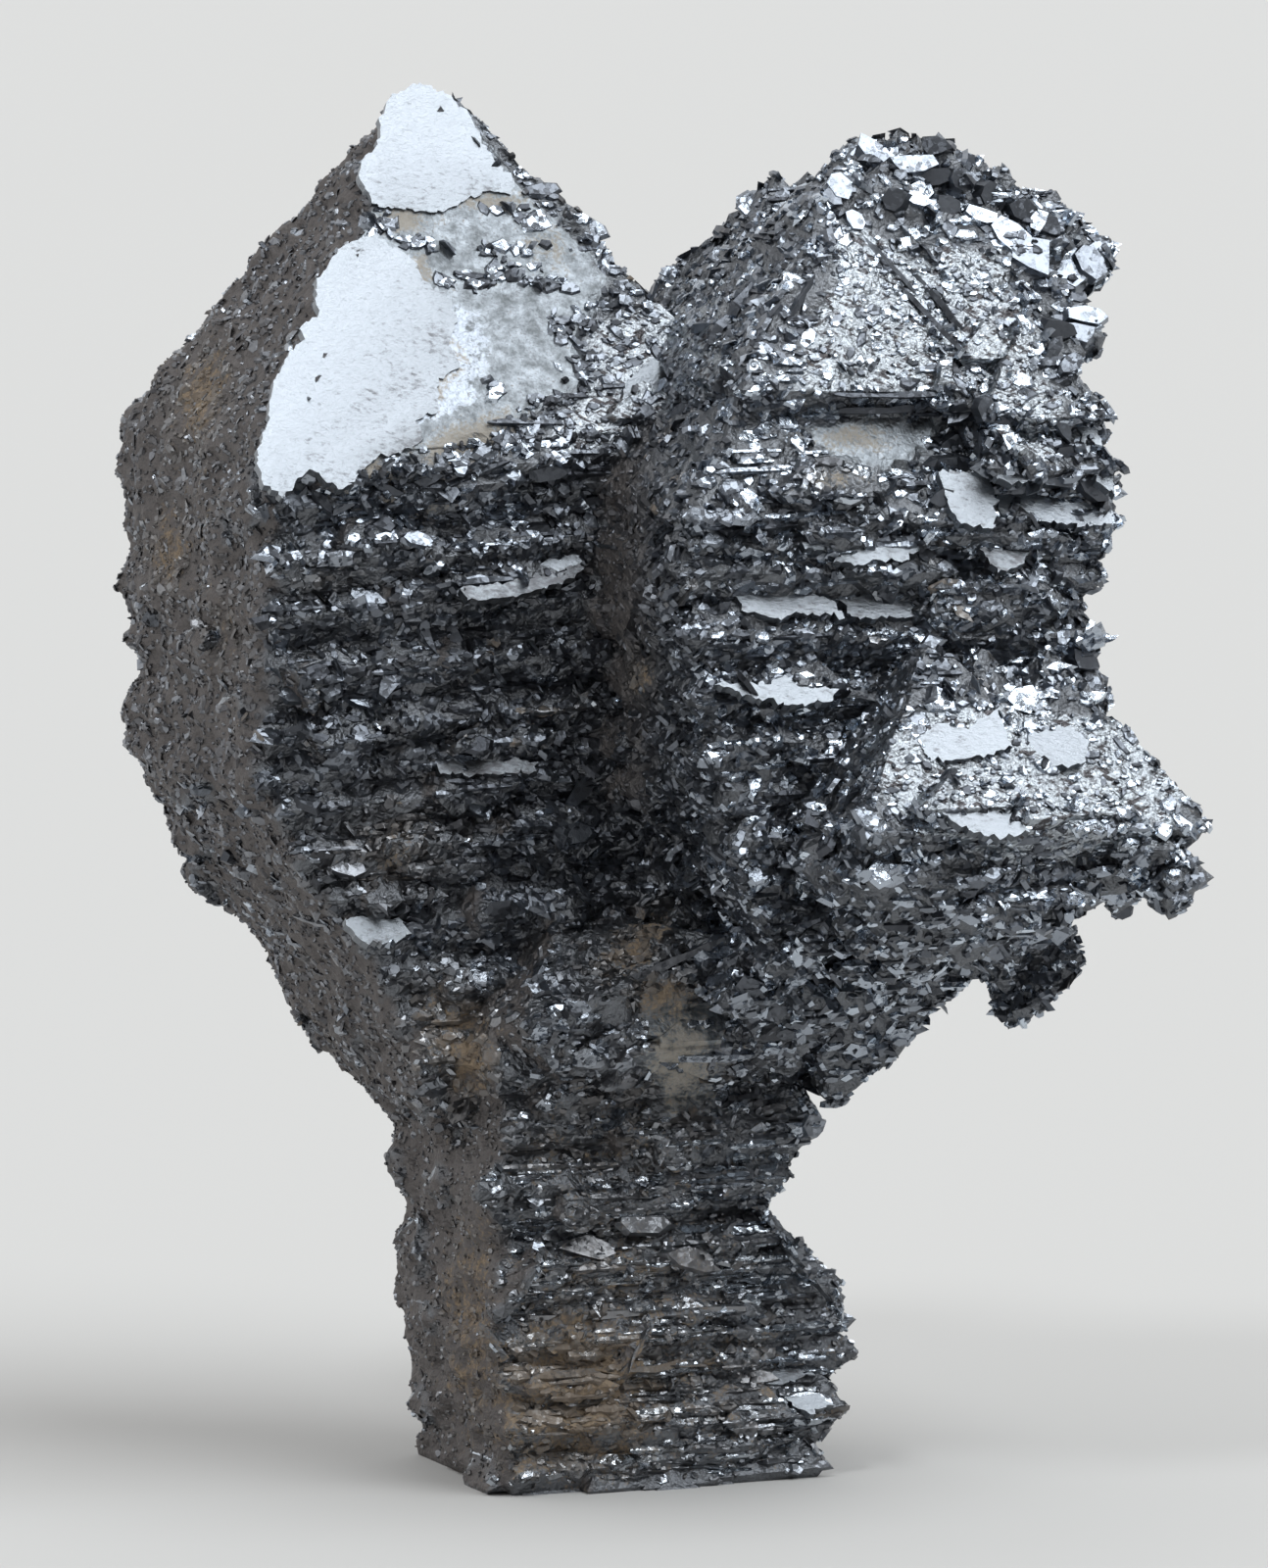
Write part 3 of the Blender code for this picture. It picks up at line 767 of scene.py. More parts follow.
# Larger crystals that stand out in the photograph. Each is its place there in pixels, its half length,
# half width and thickness in pixels, its turn in the picture in degrees, how far it leans right and
# down from the plane that catches the light, and its shine.
BRIGHT_PLANE = unit(np.array((0.304, -0.757, 0.578)))
LARGE_CRYSTALS = (
    (888, 156, 24, 13, 12, 76, 0.0, 0.04, 0.7),
    (896, 166, 14, 10, 12, 40, 0.1, -0.1, 0.6),
    (857, 192, 20, 12, 10, 66, 0.0, 0.02, 0.7),
    (849, 204, 12, 9, 10, 30, -0.1, -0.05, 0.5),
    (871, 226, 14, 9, 8, 50, 0.05, 0.0, 0.75),
    (950, 182, 26, 14, 18, -8, -0.25, -0.5, 0.25),
    (978, 186, 18, 12, 14, 20, 0.15, -0.4, 0.35),
    (930, 170, 30, 12, 14, -10, -0.1, -0.12, 0.7),
    (935, 206, 20, 9, 10, 0, 0.0, 0.0, 1.0),
    (968, 198, 14, 8, 8, 20, 0.0, 0.03, 1.0),
    (965, 210, 18, 12, 12, 10, 0.1, -0.5, 0.4),
    (915, 205, 16, 18, 20, 20, -0.5, -0.4, 0.2),
    (1005, 195, 15, 14, 16, 40, 0.3, -0.5, 0.3),
    (1000, 222, 22, 11, 10, 10, 0.05, 0.0, 0.95),
    (955, 150, 18, 14, 14, 0, -0.3, -0.3, 0.2),
    (990, 170, 20, 14, 14, 40, -0.1, -0.3, 0.3),
    (1040, 215, 22, 14, 14, 20, 0.2, -0.4, 0.2),
    (1070, 232, 20, 12, 12, 30, 0.2, -0.3, 0.3),
    (1030, 242, 26, 18, 9, 35, 0.0, 0.03, 0.8),
    (1052, 262, 30, 22, 10, 50, 0.02, 0.0, 0.65),
    (1082, 272, 36, 28, 12, 60, 0.0, 0.0, 0.7),
    (1112, 268, 24, 18, 12, 80, 0.12, -0.05, 0.6),
    (1104, 300, 28, 20, 12, 40, 0.03, 0.02, 0.65),
    (1126, 306, 12, 20, 10, 0, 0.1, 0.0, 0.6),
    (1108, 324, 26, 12, 9, -14, 0.0, 0.03, 0.7),
    (1096, 342, 28, 11, 10, -5, 0.03, 0.0, 0.6),
    (1080, 335, 22, 12, 14, 10, 0.0, -0.6, 0.2),
    (1090, 372, 22, 12, 12, -40, 0.1, -0.2, 0.5),
    (1075, 355, 16, 10, 10, -60, -0.2, -0.4, 0.4),
    (1006, 418, 18, 12, 12, 60, 0.1, -0.45, 0.35),
    (1020, 436, 14, 12, 10, 10, -0.1, -0.5, 0.3),
    (980, 425, 18, 10, 10, -30, -0.2, -0.2, 0.5),
    (975, 452, 34, 11, 12, -12, 0.0, -0.7, 0.2),
    (975, 473, 34, 10, 12, 5, 0.05, -0.7, 0.2),
    (1002, 460, 10, 18, 10, -20, 0.2, -0.5, 0.2),
    (1082, 435, 24, 9, 10, 55, 0.25, -0.4, 0.35),
    (1092, 462, 22, 8, 8, 5, 0.1, -0.6, 0.15),
    (1075, 490, 24, 10, 12, 15, 0.1, -0.35, 0.45),
    (1115, 498, 26, 12, 12, 30, 0.2, -0.5, 0.3),
    (1030, 500, 26, 6, 8, 2, 0.0, -0.6, 0.3),
    (962, 508, 16, 14, 14, 0, -0.2, -0.5, 0.4),
    (1025, 565, 26, 18, 12, -10, 0.05, -0.16, 0.75),
    (1032, 692, 22, 14, 12, 0, 0.05, -0.25, 0.6),
    (1105, 675, 24, 12, 14, 10, 0.2, -0.4, 0.4),
    (560, 482, 30, 9, 10, -4, -0.1, -0.75, 0.15),
    (600, 512, 28, 9, 10, -2, 0.0, -0.8, 0.15),
    (545, 540, 26, 8, 10, -3, 0.0, -0.8, 0.15),
    (395, 475, 14, 4, 5, -40, 0.0, -0.5, 0.2),
    (282, 512, 14, 5, 6, 30, 0.1, -0.5, 0.2),
    (306, 508, 18, 5, 6, -48, -0.1, -0.4, 0.3),
    (328, 512, 20, 6, 7, 42, 0.2, -0.4, 0.2),
    (352, 515, 18, 6, 7, -30, 0.0, -0.5, 0.35),
    (374, 500, 18, 5, 6, -62, 0.1, -0.3, 0.25),
    (396, 500, 20, 6, 7, 25, 0.0, -0.5, 0.2),
    (414, 486, 18, 5, 6, -58, -0.2, -0.3, 0.3),
    (436, 490, 20, 6, 7, -20, 0.0, -0.5, 0.2),
    (452, 474, 18, 5, 6, 38, 0.1, -0.3, 0.35),
    (474, 470, 20, 5, 6, -66, 0.0, -0.2, 0.5),
    (496, 468, 22, 6, 7, -35, 0.1, -0.4, 0.25),
    (515, 455, 24, 5, 6, -70, 0.1, -0.2, 0.4),
    (536, 452, 22, 6, 7, -12, 0.0, -0.5, 0.2),
    (470, 478, 9, 8, 5, 0, 0.0, -0.05, 0.7),
    (545, 440, 22, 4, 5, -70, 0.0, -0.12, 0.6),
    (580, 440, 22, 4, 5, -75, 0.05, -0.14, 0.6),
    (590, 470, 18, 7, 6, 20, 0.1, -0.2, 0.6),
    (495, 783, 54, 9, 10, 2, 0.0, -0.03, 0.9),
    (490, 600, 34, 12, 8, -8, 0.0, -0.08, 0.75),
    (570, 575, 26, 8, 8, -10, 0.0, 0.0, 1.0),
    (425, 550, 22, 9, 7, 0, 0.0, -0.12, 0.7),
    (375, 610, 24, 9, 8, 3, 0.0, -0.12, 0.75),
    (400, 690, 12, 30, 6, 25, -0.2, -0.25, 0.6),
    (432, 640, 8, 34, 6, -20, -0.2, -0.3, 0.3),
    (465, 650, 8, 40, 6, -25, -0.2, -0.4, 0.2),
    (370, 715, 24, 12, 8, 5, 0.0, -0.05, 0.8),
    (300, 710, 18, 9, 8, 0, 0.0, -0.2, 0.6),
    (350, 885, 34, 13, 10, 5, -0.05, -0.2, 0.6),
    (384, 948, 34, 14, 10, 5, 0.0, 0.0, 0.95),
    (597, 800, 10, 26, 6, 35, 0.3, -0.4, 0.6),
    (585, 850, 34, 12, 8, -5, 0.1, -0.4, 0.35),
    (830, 1150, 18, 13, 8, -30, 0.3, -0.4, 0.8),
    (825, 1430, 28, 10, 9, 0, 0.0, 0.0, 0.95),
    (770, 1405, 34, 10, 9, -2, 0.0, -0.1, 0.6),
    (600, 1275, 34, 14, 9, 0, -0.05, -0.15, 0.6),
    (655, 1246, 40, 15, 9, -4, 0.05, -0.25, 0.7),
    (705, 1284, 36, 12, 9, 8, 0.1, -0.3, 0.6),
    (560, 1262, 16, 8, 8, 10, 0.0, -0.1, 0.8),
    (545, 1225, 14, 7, 7, 20, 0.0, 0.0, 0.8),
    (532, 1255, 12, 6, 7, 0, 0.0, 0.0, 0.9),
    (525, 1375, 12, 6, 6, 30, 0.0, 0.0, 0.8),
    (580, 1315, 20, 5, 6, -3, 0.0, 0.0, 0.7),
    (560, 1450, 22, 6, 6, 0, 0.0, 0.0, 0.95),
)
# Long straight laths: both ends in the photograph in pixels, half width, and shine.
LATHS = (
    ((925, 270), (982, 336), 5, 0.15),
    ((918, 292), (985, 362), 5, 0.1),
    ((850, 404), (958, 401), 4, 0.15),
    ((852, 418), (956, 416), 5, 0.12),
    ((880, 240), (935, 300), 4, 0.6),
    ((730, 400), (800, 310), 9, 0.25),
    ((720, 360), (770, 290), 8, 0.2),
    ((800, 330), (832, 280), 5, 0.3),
    ((240, 598), (430, 590), 7, 0.15),
    ((430, 600), (540, 590), 5, 0.3),
    ((400, 520), (520, 470), 6, 0.15),
    ((430, 640), (500, 700), 6, 0.2),
    ((640, 1000), (740, 962), 6, 0.3),
    ((745, 966), (840, 940), 5, 0.2),
    ((740, 1240), (868, 1362), 7, 0.15),
    ((540, 1345), (760, 1335), 6, 0.6),
    ((700, 1352), (878, 1345), 10, 0.5),
    ((560, 1400), (720, 1392), 5, 0.6),
    ((720, 1420), (870, 1408), 8, 0.6),
    ((540, 1378), (640, 1372), 5, 0.4),
)


def surface_spot(tree, x, y):
    """The place on the body that a pixel of the photograph shows, and the outward direction there."""
    place, right, up, forward = camera_axes()
    across = (x - PHOTO_WIDTH / 2) / FOCAL_PIXELS
    down = (y - PHOTO_HEIGHT / 2) / FOCAL_PIXELS
    ray = forward + right * across - up * down
    hit, normal, _, _ = tree.ray_cast(place, ray.normalized())
    return hit, normal


def ragged_outline(corners, rng):
    """The corners of an outline with more between them, each a little off its line."""
    line = []
    for start, end in zip(corners, np.roll(corners, -1, axis=0)):
        parts = max(1, int(np.hypot(*(end - start)) / RIM_SPACING))
        for part in range(parts):
            line.append(start + (end - start) * part / parts + rng.normal(0, RIM_RAGGEDNESS, 2))
    return np.array(line)


def bright_layers(tree, name, rng):
    """Thin growth layers that lie on the faces, with ragged rims that stand a little proud."""
    place, right, up, forward = (np.array(axis) for axis in camera_axes())
    points = []
    faces = []
    shine = []
    for lustre, *corners in BRIGHT_LAYERS:
        line = ragged_outline(np.array(corners, float), rng)
        middle = np.mean(corners, axis=0)
        hit, normal = surface_spot(tree, *middle)
        face = np.array(normal)
        if face @ BRIGHT_PLANE < LEVEL_WITH:
            face = unit(BRIGHT_PLANE + rng.normal(0, 0.03, 3))
        top = np.array(hit) + face * (LAYER_LIFT if len(corners) > LEDGE_CORNERS else LEDGE_LIFT)
        across = (line - (PHOTO_WIDTH / 2, PHOTO_HEIGHT / 2)) / FOCAL_PIXELS
        rays = forward + across[:, :1] * right - across[:, 1:] * up
        reach = ((top - place) @ face) / (rays @ face)
        rim = place + rays * reach[:, None]
        first = len(points)
        order = list(range(first, first + len(rim)))
        spokes = rim - rim.mean(axis=0)
        turned = np.cross(spokes, np.roll(spokes, -1, axis=0)).sum(axis=0)
        faces.append(order if turned @ face > 0 else order[::-1])
        points.extend(rim.tolist())
        shine.extend((lustre * (1 - 0.75 * airbrushed(line, WEAR_PUFFS))).tolist())
    mesh = bpy.data.meshes.new(name)
    mesh.from_pydata(points, [], faces)
    store(mesh, "shine", shine)
    layers = bpy.data.objects.new(name, mesh)
    bpy.context.scene.collection.objects.link(layers)
    pick(layers)
    bpy.context.tool_settings.mesh_select_mode = (False, False, True)
    bpy.ops.object.mode_set(mode="EDIT")
    bpy.ops.mesh.select_all(action="SELECT")
    bpy.ops.mesh.extrude_region_move(TRANSFORM_OT_translate={"value": -BRIGHT_PLANE * LAYER_THICKNESS})
    bpy.ops.mesh.select_all(action="SELECT")
    bpy.ops.mesh.normals_make_consistent(inside=False)
    bpy.ops.object.mode_set(mode="OBJECT")
    layers.data.shade_flat()
    return layers


def large_crystals(tree, pattern, name, rng):
    """The crystals that stand out in the photograph, each set into the surface that carries it."""
    _, right, up, forward = (np.array(axis) for axis in camera_axes())
    places = []
    turns = []
    shine = []
    for x, y, long, wide, thick, turn, lean_right, lean_down, lustre in LARGE_CRYSTALS:
        hit, _ = surface_spot(tree, x, y)
        if hit is None:
            continue
        face = unit(BRIGHT_PLANE + lean_right * right + lean_down * up)
        angle = math.radians(turn)
        wanted = right * math.cos(angle) - up * math.sin(angle)
        along = unit(wanted - (wanted @ face) * face)
        across = np.cross(face, along)
        scale = (along * long, across * wide / max(0.3, abs(face @ forward)), face * thick)
        turns.append(np.stack(scale, axis=1) * PIXEL)
        places.append(np.array(hit) + face * 0.1 * thick * PIXEL)
        shine.append(0.85 * lustre)
    shapes = uneven_plates(pattern, len(places), rng, unevenness=0.36)
    places = np.array(places)
    joined = joined_copies(name, pattern, shapes, np.array(turns), places)
    outward = np.tile(BRIGHT_PLANE, (len(places), 1))
    keep_finish(joined, places, outward, np.array(shine), shapes.shape[1])
    return joined


def laths(tree, pattern, name, rng):
    """Long straight crystals that lie along the faces."""
    places = []
    turns = []
    shine = []
    for start, end, wide, lustre in LATHS:
        first, normal_first = surface_spot(tree, *start)
        last, normal_last = surface_spot(tree, *end)
        if first is None or last is None:
            continue
        first = np.array(first)
        last = np.array(last)
        run = unit(last - first)
        out = np.array(normal_first) + np.array(normal_last)
        out = unit(out - (out @ run) * run)
        side = np.cross(run, out)
        half = np.linalg.norm(last - first) / 2
        turns.append(np.stack((run * half, out * wide * PIXEL, side * wide * PIXEL), axis=1))
        places.append((first + last) / 2 + out * 0.2 * wide * PIXEL)
        shine.append(lustre)
    places = np.array(places)
    shapes = uneven_steps(pattern, len(places), rng)
    joined = joined_copies(name, pattern, shapes, np.array(turns), places)
    outward = np.tile(BRIGHT_PLANE, (len(places), 1))
    keep_finish(joined, places, outward, np.array(shine), shapes.shape[1])
    return joined


# Materials


def linear(code):
    """An sRGB hex colour as the linear numbers that the shader takes."""
    parts = [int(code[index : index + 2], 16) / 255 for index in (1, 3, 5)]
    return tuple(p / 12.92 if p <= 0.04045 else ((p + 0.055) / 1.055) ** 2.4 for p in parts) + (1,)


def add(tree, kind, links=None, **settings):
    """Adds a node with its settings, and links or sets its inputs."""
    made = tree.nodes.new("ShaderNode" + kind)
    for key, value in settings.items():
        setattr(made, key, value)
    for key, value in (links or {}).items():
        if isinstance(value, bpy.types.NodeSocket):
            tree.links.new(value, made.inputs[key])
        else:
            made.inputs[key].default_value = value
    return made


def new_material(name):
    material = bpy.data.materials.new(name)
    material.use_nodes = True
    material.node_tree.nodes.clear()
    return material, material.node_tree


def etched_martite():
    """Hematite after magnetite, grown and then etched: steel-grey metal lustre on the clean faces,
    dull dark pitted metal elsewhere, whose pits are painted darker as painted shade, with brown
    limonite in the hollows and pale dust on top. Over the foot the limonite also lightens the surface
    as painted light, and on the neck's downward face the pale dust is a painted reflection. The real
    grit and pits,
    0.02 to 0.1 mm, are drawn at 0.05 to 0.16 mm, so that they show."""
    material, tree = new_material("martite_etched")
    place = add(tree, "TexCoord").outputs["Object"]
    read = {
        name: add(tree, "Attribute", attribute_name=name).outputs["Fac"]
        for name in ("mirror", "satin", "mosaic", "limonite_and_light", "dust_and_painted_reflection", "matt")
    }
    ragged = add(
        tree, "TexNoise", {"Vector": place, "Scale": 1 / (0.35 * MM), "Detail": 5, "Roughness": 0.65}
    ).outputs["Fac"]
    speck = add(
        tree, "TexNoise", {"Vector": place, "Scale": 1 / (0.07 * MM), "Detail": 3, "Roughness": 0.6}
    ).outputs["Fac"]
    cells = add(
        tree, "TexVoronoi", {"Vector": place, "Scale": 1 / (0.16 * MM)}, feature="DISTANCE_TO_EDGE"
    ).outputs["Distance"]
    edge = add(tree, "Math", {0: ragged, 1: 0.9, 2: -0.45}, operation="MULTIPLY_ADD").outputs[0]
    satin_edge = add(tree, "Math", {0: read["satin"], 1: edge}, operation="ADD").outputs[0]
    half = add(tree, "MapRange", {"Value": satin_edge, "From Min": -0.1, "From Max": 0.1}).outputs[0]
    mosaic_edge = add(tree, "Math", {0: read["mosaic"], 1: edge}, operation="ADD").outputs[0]
    bright = add(tree, "MapRange", {"Value": mosaic_edge, "From Min": -0.1, "From Max": 0.1}).outputs[0]
    mirror_edge = add(tree, "Math", {0: ragged, 1: 2.2, 2: -1.1}, operation="MULTIPLY_ADD").outputs[0]
    mirror_edge = add(tree, "Math", {0: read["mirror"], 1: mirror_edge}, operation="ADD").outputs[0]
    clean = add(
        tree, "MapRange", {"Value": mirror_edge, "From Min": -0.05, "From Max": 0.12}
    ).outputs[0]
    dots = add(tree, "MapRange", {"Value": speck, "From Min": 0.55, "From Max": 0.70}).outputs[0]
    slanted = add(
        tree, "Mapping", {"Vector": place, "Rotation": (0, -0.8, 0), "Scale": (0.45, 1, 1)}
    ).outputs[0]
    chips = add(
        tree,
        "TexVoronoi",
        {"Vector": slanted, "Scale": 1 / (0.13 * MM)},
        feature="F1",
        distance="CHEBYCHEV",
    ).outputs["Distance"]
    chips = add(tree, "MapRange", {"Value": chips, "From Min": 0.42, "From Max": 0.50}).outputs[0]
    broken = add(tree, "MapRange", {"Value": ragged, "From Min": 0.42, "From Max": 0.54}).outputs[0]
    shaded_pits = add(tree, "Math", {0: chips, 1: broken}, operation="MULTIPLY").outputs[0]
    scratched = add(
        tree, "Mapping", {"Vector": place, "Rotation": (0, 0.35, 0), "Scale": (0.12, 1, 1)}
    ).outputs[0]
    scratch = add(
        tree, "TexNoise", {"Vector": scratched, "Scale": 1 / (0.05 * MM), "Detail": 2}
    ).outputs["Fac"]
    scratch = add(tree, "MapRange", {"Value": scratch, "From Min": 0.60, "From Max": 0.72}).outputs[0]
    dark = add(
        tree, "Mix", {0: ragged, 6: linear("#5f6062"), 7: linear("#888c92")}, data_type="RGBA"
    ).outputs[2]
    dull = add(
        tree, "Mix", {0: read["matt"], 6: dark, 7: linear("#736f6e")}, data_type="RGBA"
    ).outputs[2]
    with_mosaic = add(
        tree, "Mix", {0: bright, 6: dull, 7: linear("#a9afb5")}, data_type="RGBA"
    ).outputs[2]
    wear = add(tree, "MapRange", {"Value": ragged, "From Min": 0.36, "From Max": 0.64}).outputs[0]
    worn = add(
        tree, "Mix", {0: wear, 6: linear("#626669"), 7: linear("#959ba1")}, data_type="RGBA"
    ).outputs[2]
    with_satin = add(tree, "Mix", {0: half, 6: with_mosaic, 7: worn}, data_type="RGBA").outputs[2]
    with_mirror = add(
        tree, "Mix", {0: clean, 6: with_satin, 7: linear("#868c94")}, data_type="RGBA"
    ).outputs[2]
    marks = add(tree, "Math", {0: dots, 1: scratch}, operation="MAXIMUM").outputs[0]
    kept = add(tree, "MapRange", {"Value": clean, "To Min": 0.65, "To Max": 0.3}).outputs[0]
    dulled = add(tree, "Math", {0: marks, 1: kept}, operation="MULTIPLY").outputs[0]
    metal = add(
        tree, "Mix", {0: dulled, 6: with_mirror, 7: linear("#5c5d60")}, data_type="RGBA"
    ).outputs[2]
    # painted shade: the pits in the bright mosaic faces are painted dark grey
    shaded_pits_on_mosaic = add(tree, "Math", {0: shaded_pits, 1: bright}, operation="MULTIPLY").outputs[0]
    metal = add(tree, "Mix", {0: shaded_pits_on_mosaic, 6: metal, 7: linear("#4a484a")}, data_type="RGBA").outputs[2]
    # brown limonite, which over the foot also lightens it as painted light
    stain_edge = add(tree, "Math", {0: ragged, 1: 1.6, 2: -0.85}, operation="MULTIPLY_ADD").outputs[0]
    stain_grain = add(tree, "Math", {0: speck, 1: 0.8, 2: -0.4}, operation="MULTIPLY_ADD").outputs[0]
    noise = add(tree, "Math", {0: stain_edge, 1: stain_grain}, operation="ADD").outputs[0]
    stain_and_light_field = add(tree, "Math", {0: read["limonite_and_light"], 1: noise}, operation="ADD").outputs[0]
    stain_and_light = add(tree, "MapRange", {"Value": stain_and_light_field, "From Min": 0.35, "From Max": 0.65}).outputs[0]
    ochre = add(
        tree, "Mix", {0: speck, 6: linear("#5e5245"), 7: linear("#a08e78")}, data_type="RGBA"
    ).outputs[2]
    # pale beige dust, and on the neck's downward face a painted reflection
    dust_and_reflection_grain = add(tree, "Math", {0: speck, 1: 1.2, 2: -0.6}, operation="MULTIPLY_ADD").outputs[0]
    dust_and_reflection_noise = add(tree, "Math", {0: stain_edge, 1: dust_and_reflection_grain}, operation="ADD").outputs[0]
    dust_and_reflection_field = add(tree, "Math", {0: read["dust_and_painted_reflection"], 1: dust_and_reflection_noise}, operation="ADD").outputs[0]
    dust_and_painted_reflection = add(
        tree, "MapRange", {"Value": dust_and_reflection_field, "From Min": 0.25, "From Max": 0.6, "To Max": 0.65}
    ).outputs[0]
    colour = add(tree, "Mix", {0: stain_and_light, 6: metal, 7: ochre}, data_type="RGBA").outputs[2]
    colour = add(tree, "Mix", {0: dust_and_painted_reflection, 6: colour, 7: linear("#a39a8c")}, data_type="RGBA").outputs[2]
    cover = add(tree, "Math", {0: stain_and_light, 1: dust_and_painted_reflection}, operation="MAXIMUM").outputs[0]
    metallic = add(tree, "MapRange", {"Value": cover, "To Min": 1.0, "To Max": 0.0}).outputs[0]
    lustrous = add(tree, "Math", {0: bright, 1: clean}, operation="MAXIMUM").outputs[0]
    rough = add(tree, "MapRange", {"Value": lustrous, "To Min": 0.46, "To Max": 0.29}).outputs[0]
    rough = add(tree, "Math", {0: read["matt"], 1: 0.2, 2: rough}, operation="MULTIPLY_ADD").outputs[0]
    rough = add(tree, "Math", {0: cover, 1: 0.35, 2: rough}, operation="MULTIPLY_ADD").outputs[0]
    relief = add(tree, "Math", {0: speck, 1: 0.7, 2: cells}, operation="MULTIPLY_ADD").outputs[0]
    depth = add(tree, "MapRange", {"Value": half, "To Min": 0.9, "To Max": 0.45}).outputs[0]
    bump = add(tree, "Bump", {"Height": relief, "Strength": depth, "Distance": 0.05 * MM}).outputs[0]
    surface = add(
        tree,
        "BsdfPrincipled",
        {"Base Color": colour, "Metallic": metallic, "Roughness": rough, "Normal": bump},
    ).outputs[0]
    add(tree, "OutputMaterial", {0: surface})
    return material


def clean_hematite():
    """Clean hematite growth layers: a metal mirror, mottled by a fine grain where it is worn. The
    grain, really about 0.05 mm, is drawn at 0.11 mm, so that it shows."""
    material, tree = new_material("hematite_clean_layers")
    place = add(tree, "TexCoord").outputs["Object"]
    shine = add(tree, "Attribute", attribute_name="shine").outputs["Fac"]
    streaked = add(tree, "Mapping", {"Vector": place, "Scale": (0.45, 1, 1.1)}).outputs[0]
    grain = add(
        tree, "TexNoise", {"Vector": streaked, "Scale": 1 / (0.11 * MM), "Detail": 5, "Roughness": 0.7}
    ).outputs["Fac"]
    patches = add(
        tree, "TexNoise", {"Vector": place, "Scale": 1 / (0.9 * MM), "Detail": 5, "Roughness": 0.7}
    ).outputs["Fac"]
    full = add(
        tree, "Mix", {0: shine, 6: linear("#64686b"), 7: linear("#90959b")}, data_type="RGBA"
    ).outputs[2]
    where = add(tree, "Math", {0: patches, 1: 0.7, 2: grain}, operation="MULTIPLY_ADD").outputs[0]
    where = add(tree, "Math", {0: shine, 1: -0.42, 2: where}, operation="MULTIPLY_ADD").outputs[0]
    dim = add(
        tree, "MapRange", {"Value": where, "From Min": 0.58, "From Max": 0.76, "To Max": 0.85}
    ).outputs[0]
    colour = add(tree, "Mix", {0: dim, 6: full, 7: linear("#5d5d60")}, data_type="RGBA").outputs[2]
    rough = add(tree, "MapRange", {"Value": dim, "To Min": 0.30, "To Max": 0.42}).outputs[0]
    bump = add(tree, "Bump", {"Height": grain, "Strength": 0.8, "Distance": 0.03 * MM}).outputs[0]
    surface = add(
        tree,
        "BsdfPrincipled",
        {"Base Color": colour, "Metallic": 1.0, "Roughness": rough, "Normal": bump},
    ).outputs[0]
    add(tree, "OutputMaterial", {0: surface})
    return material


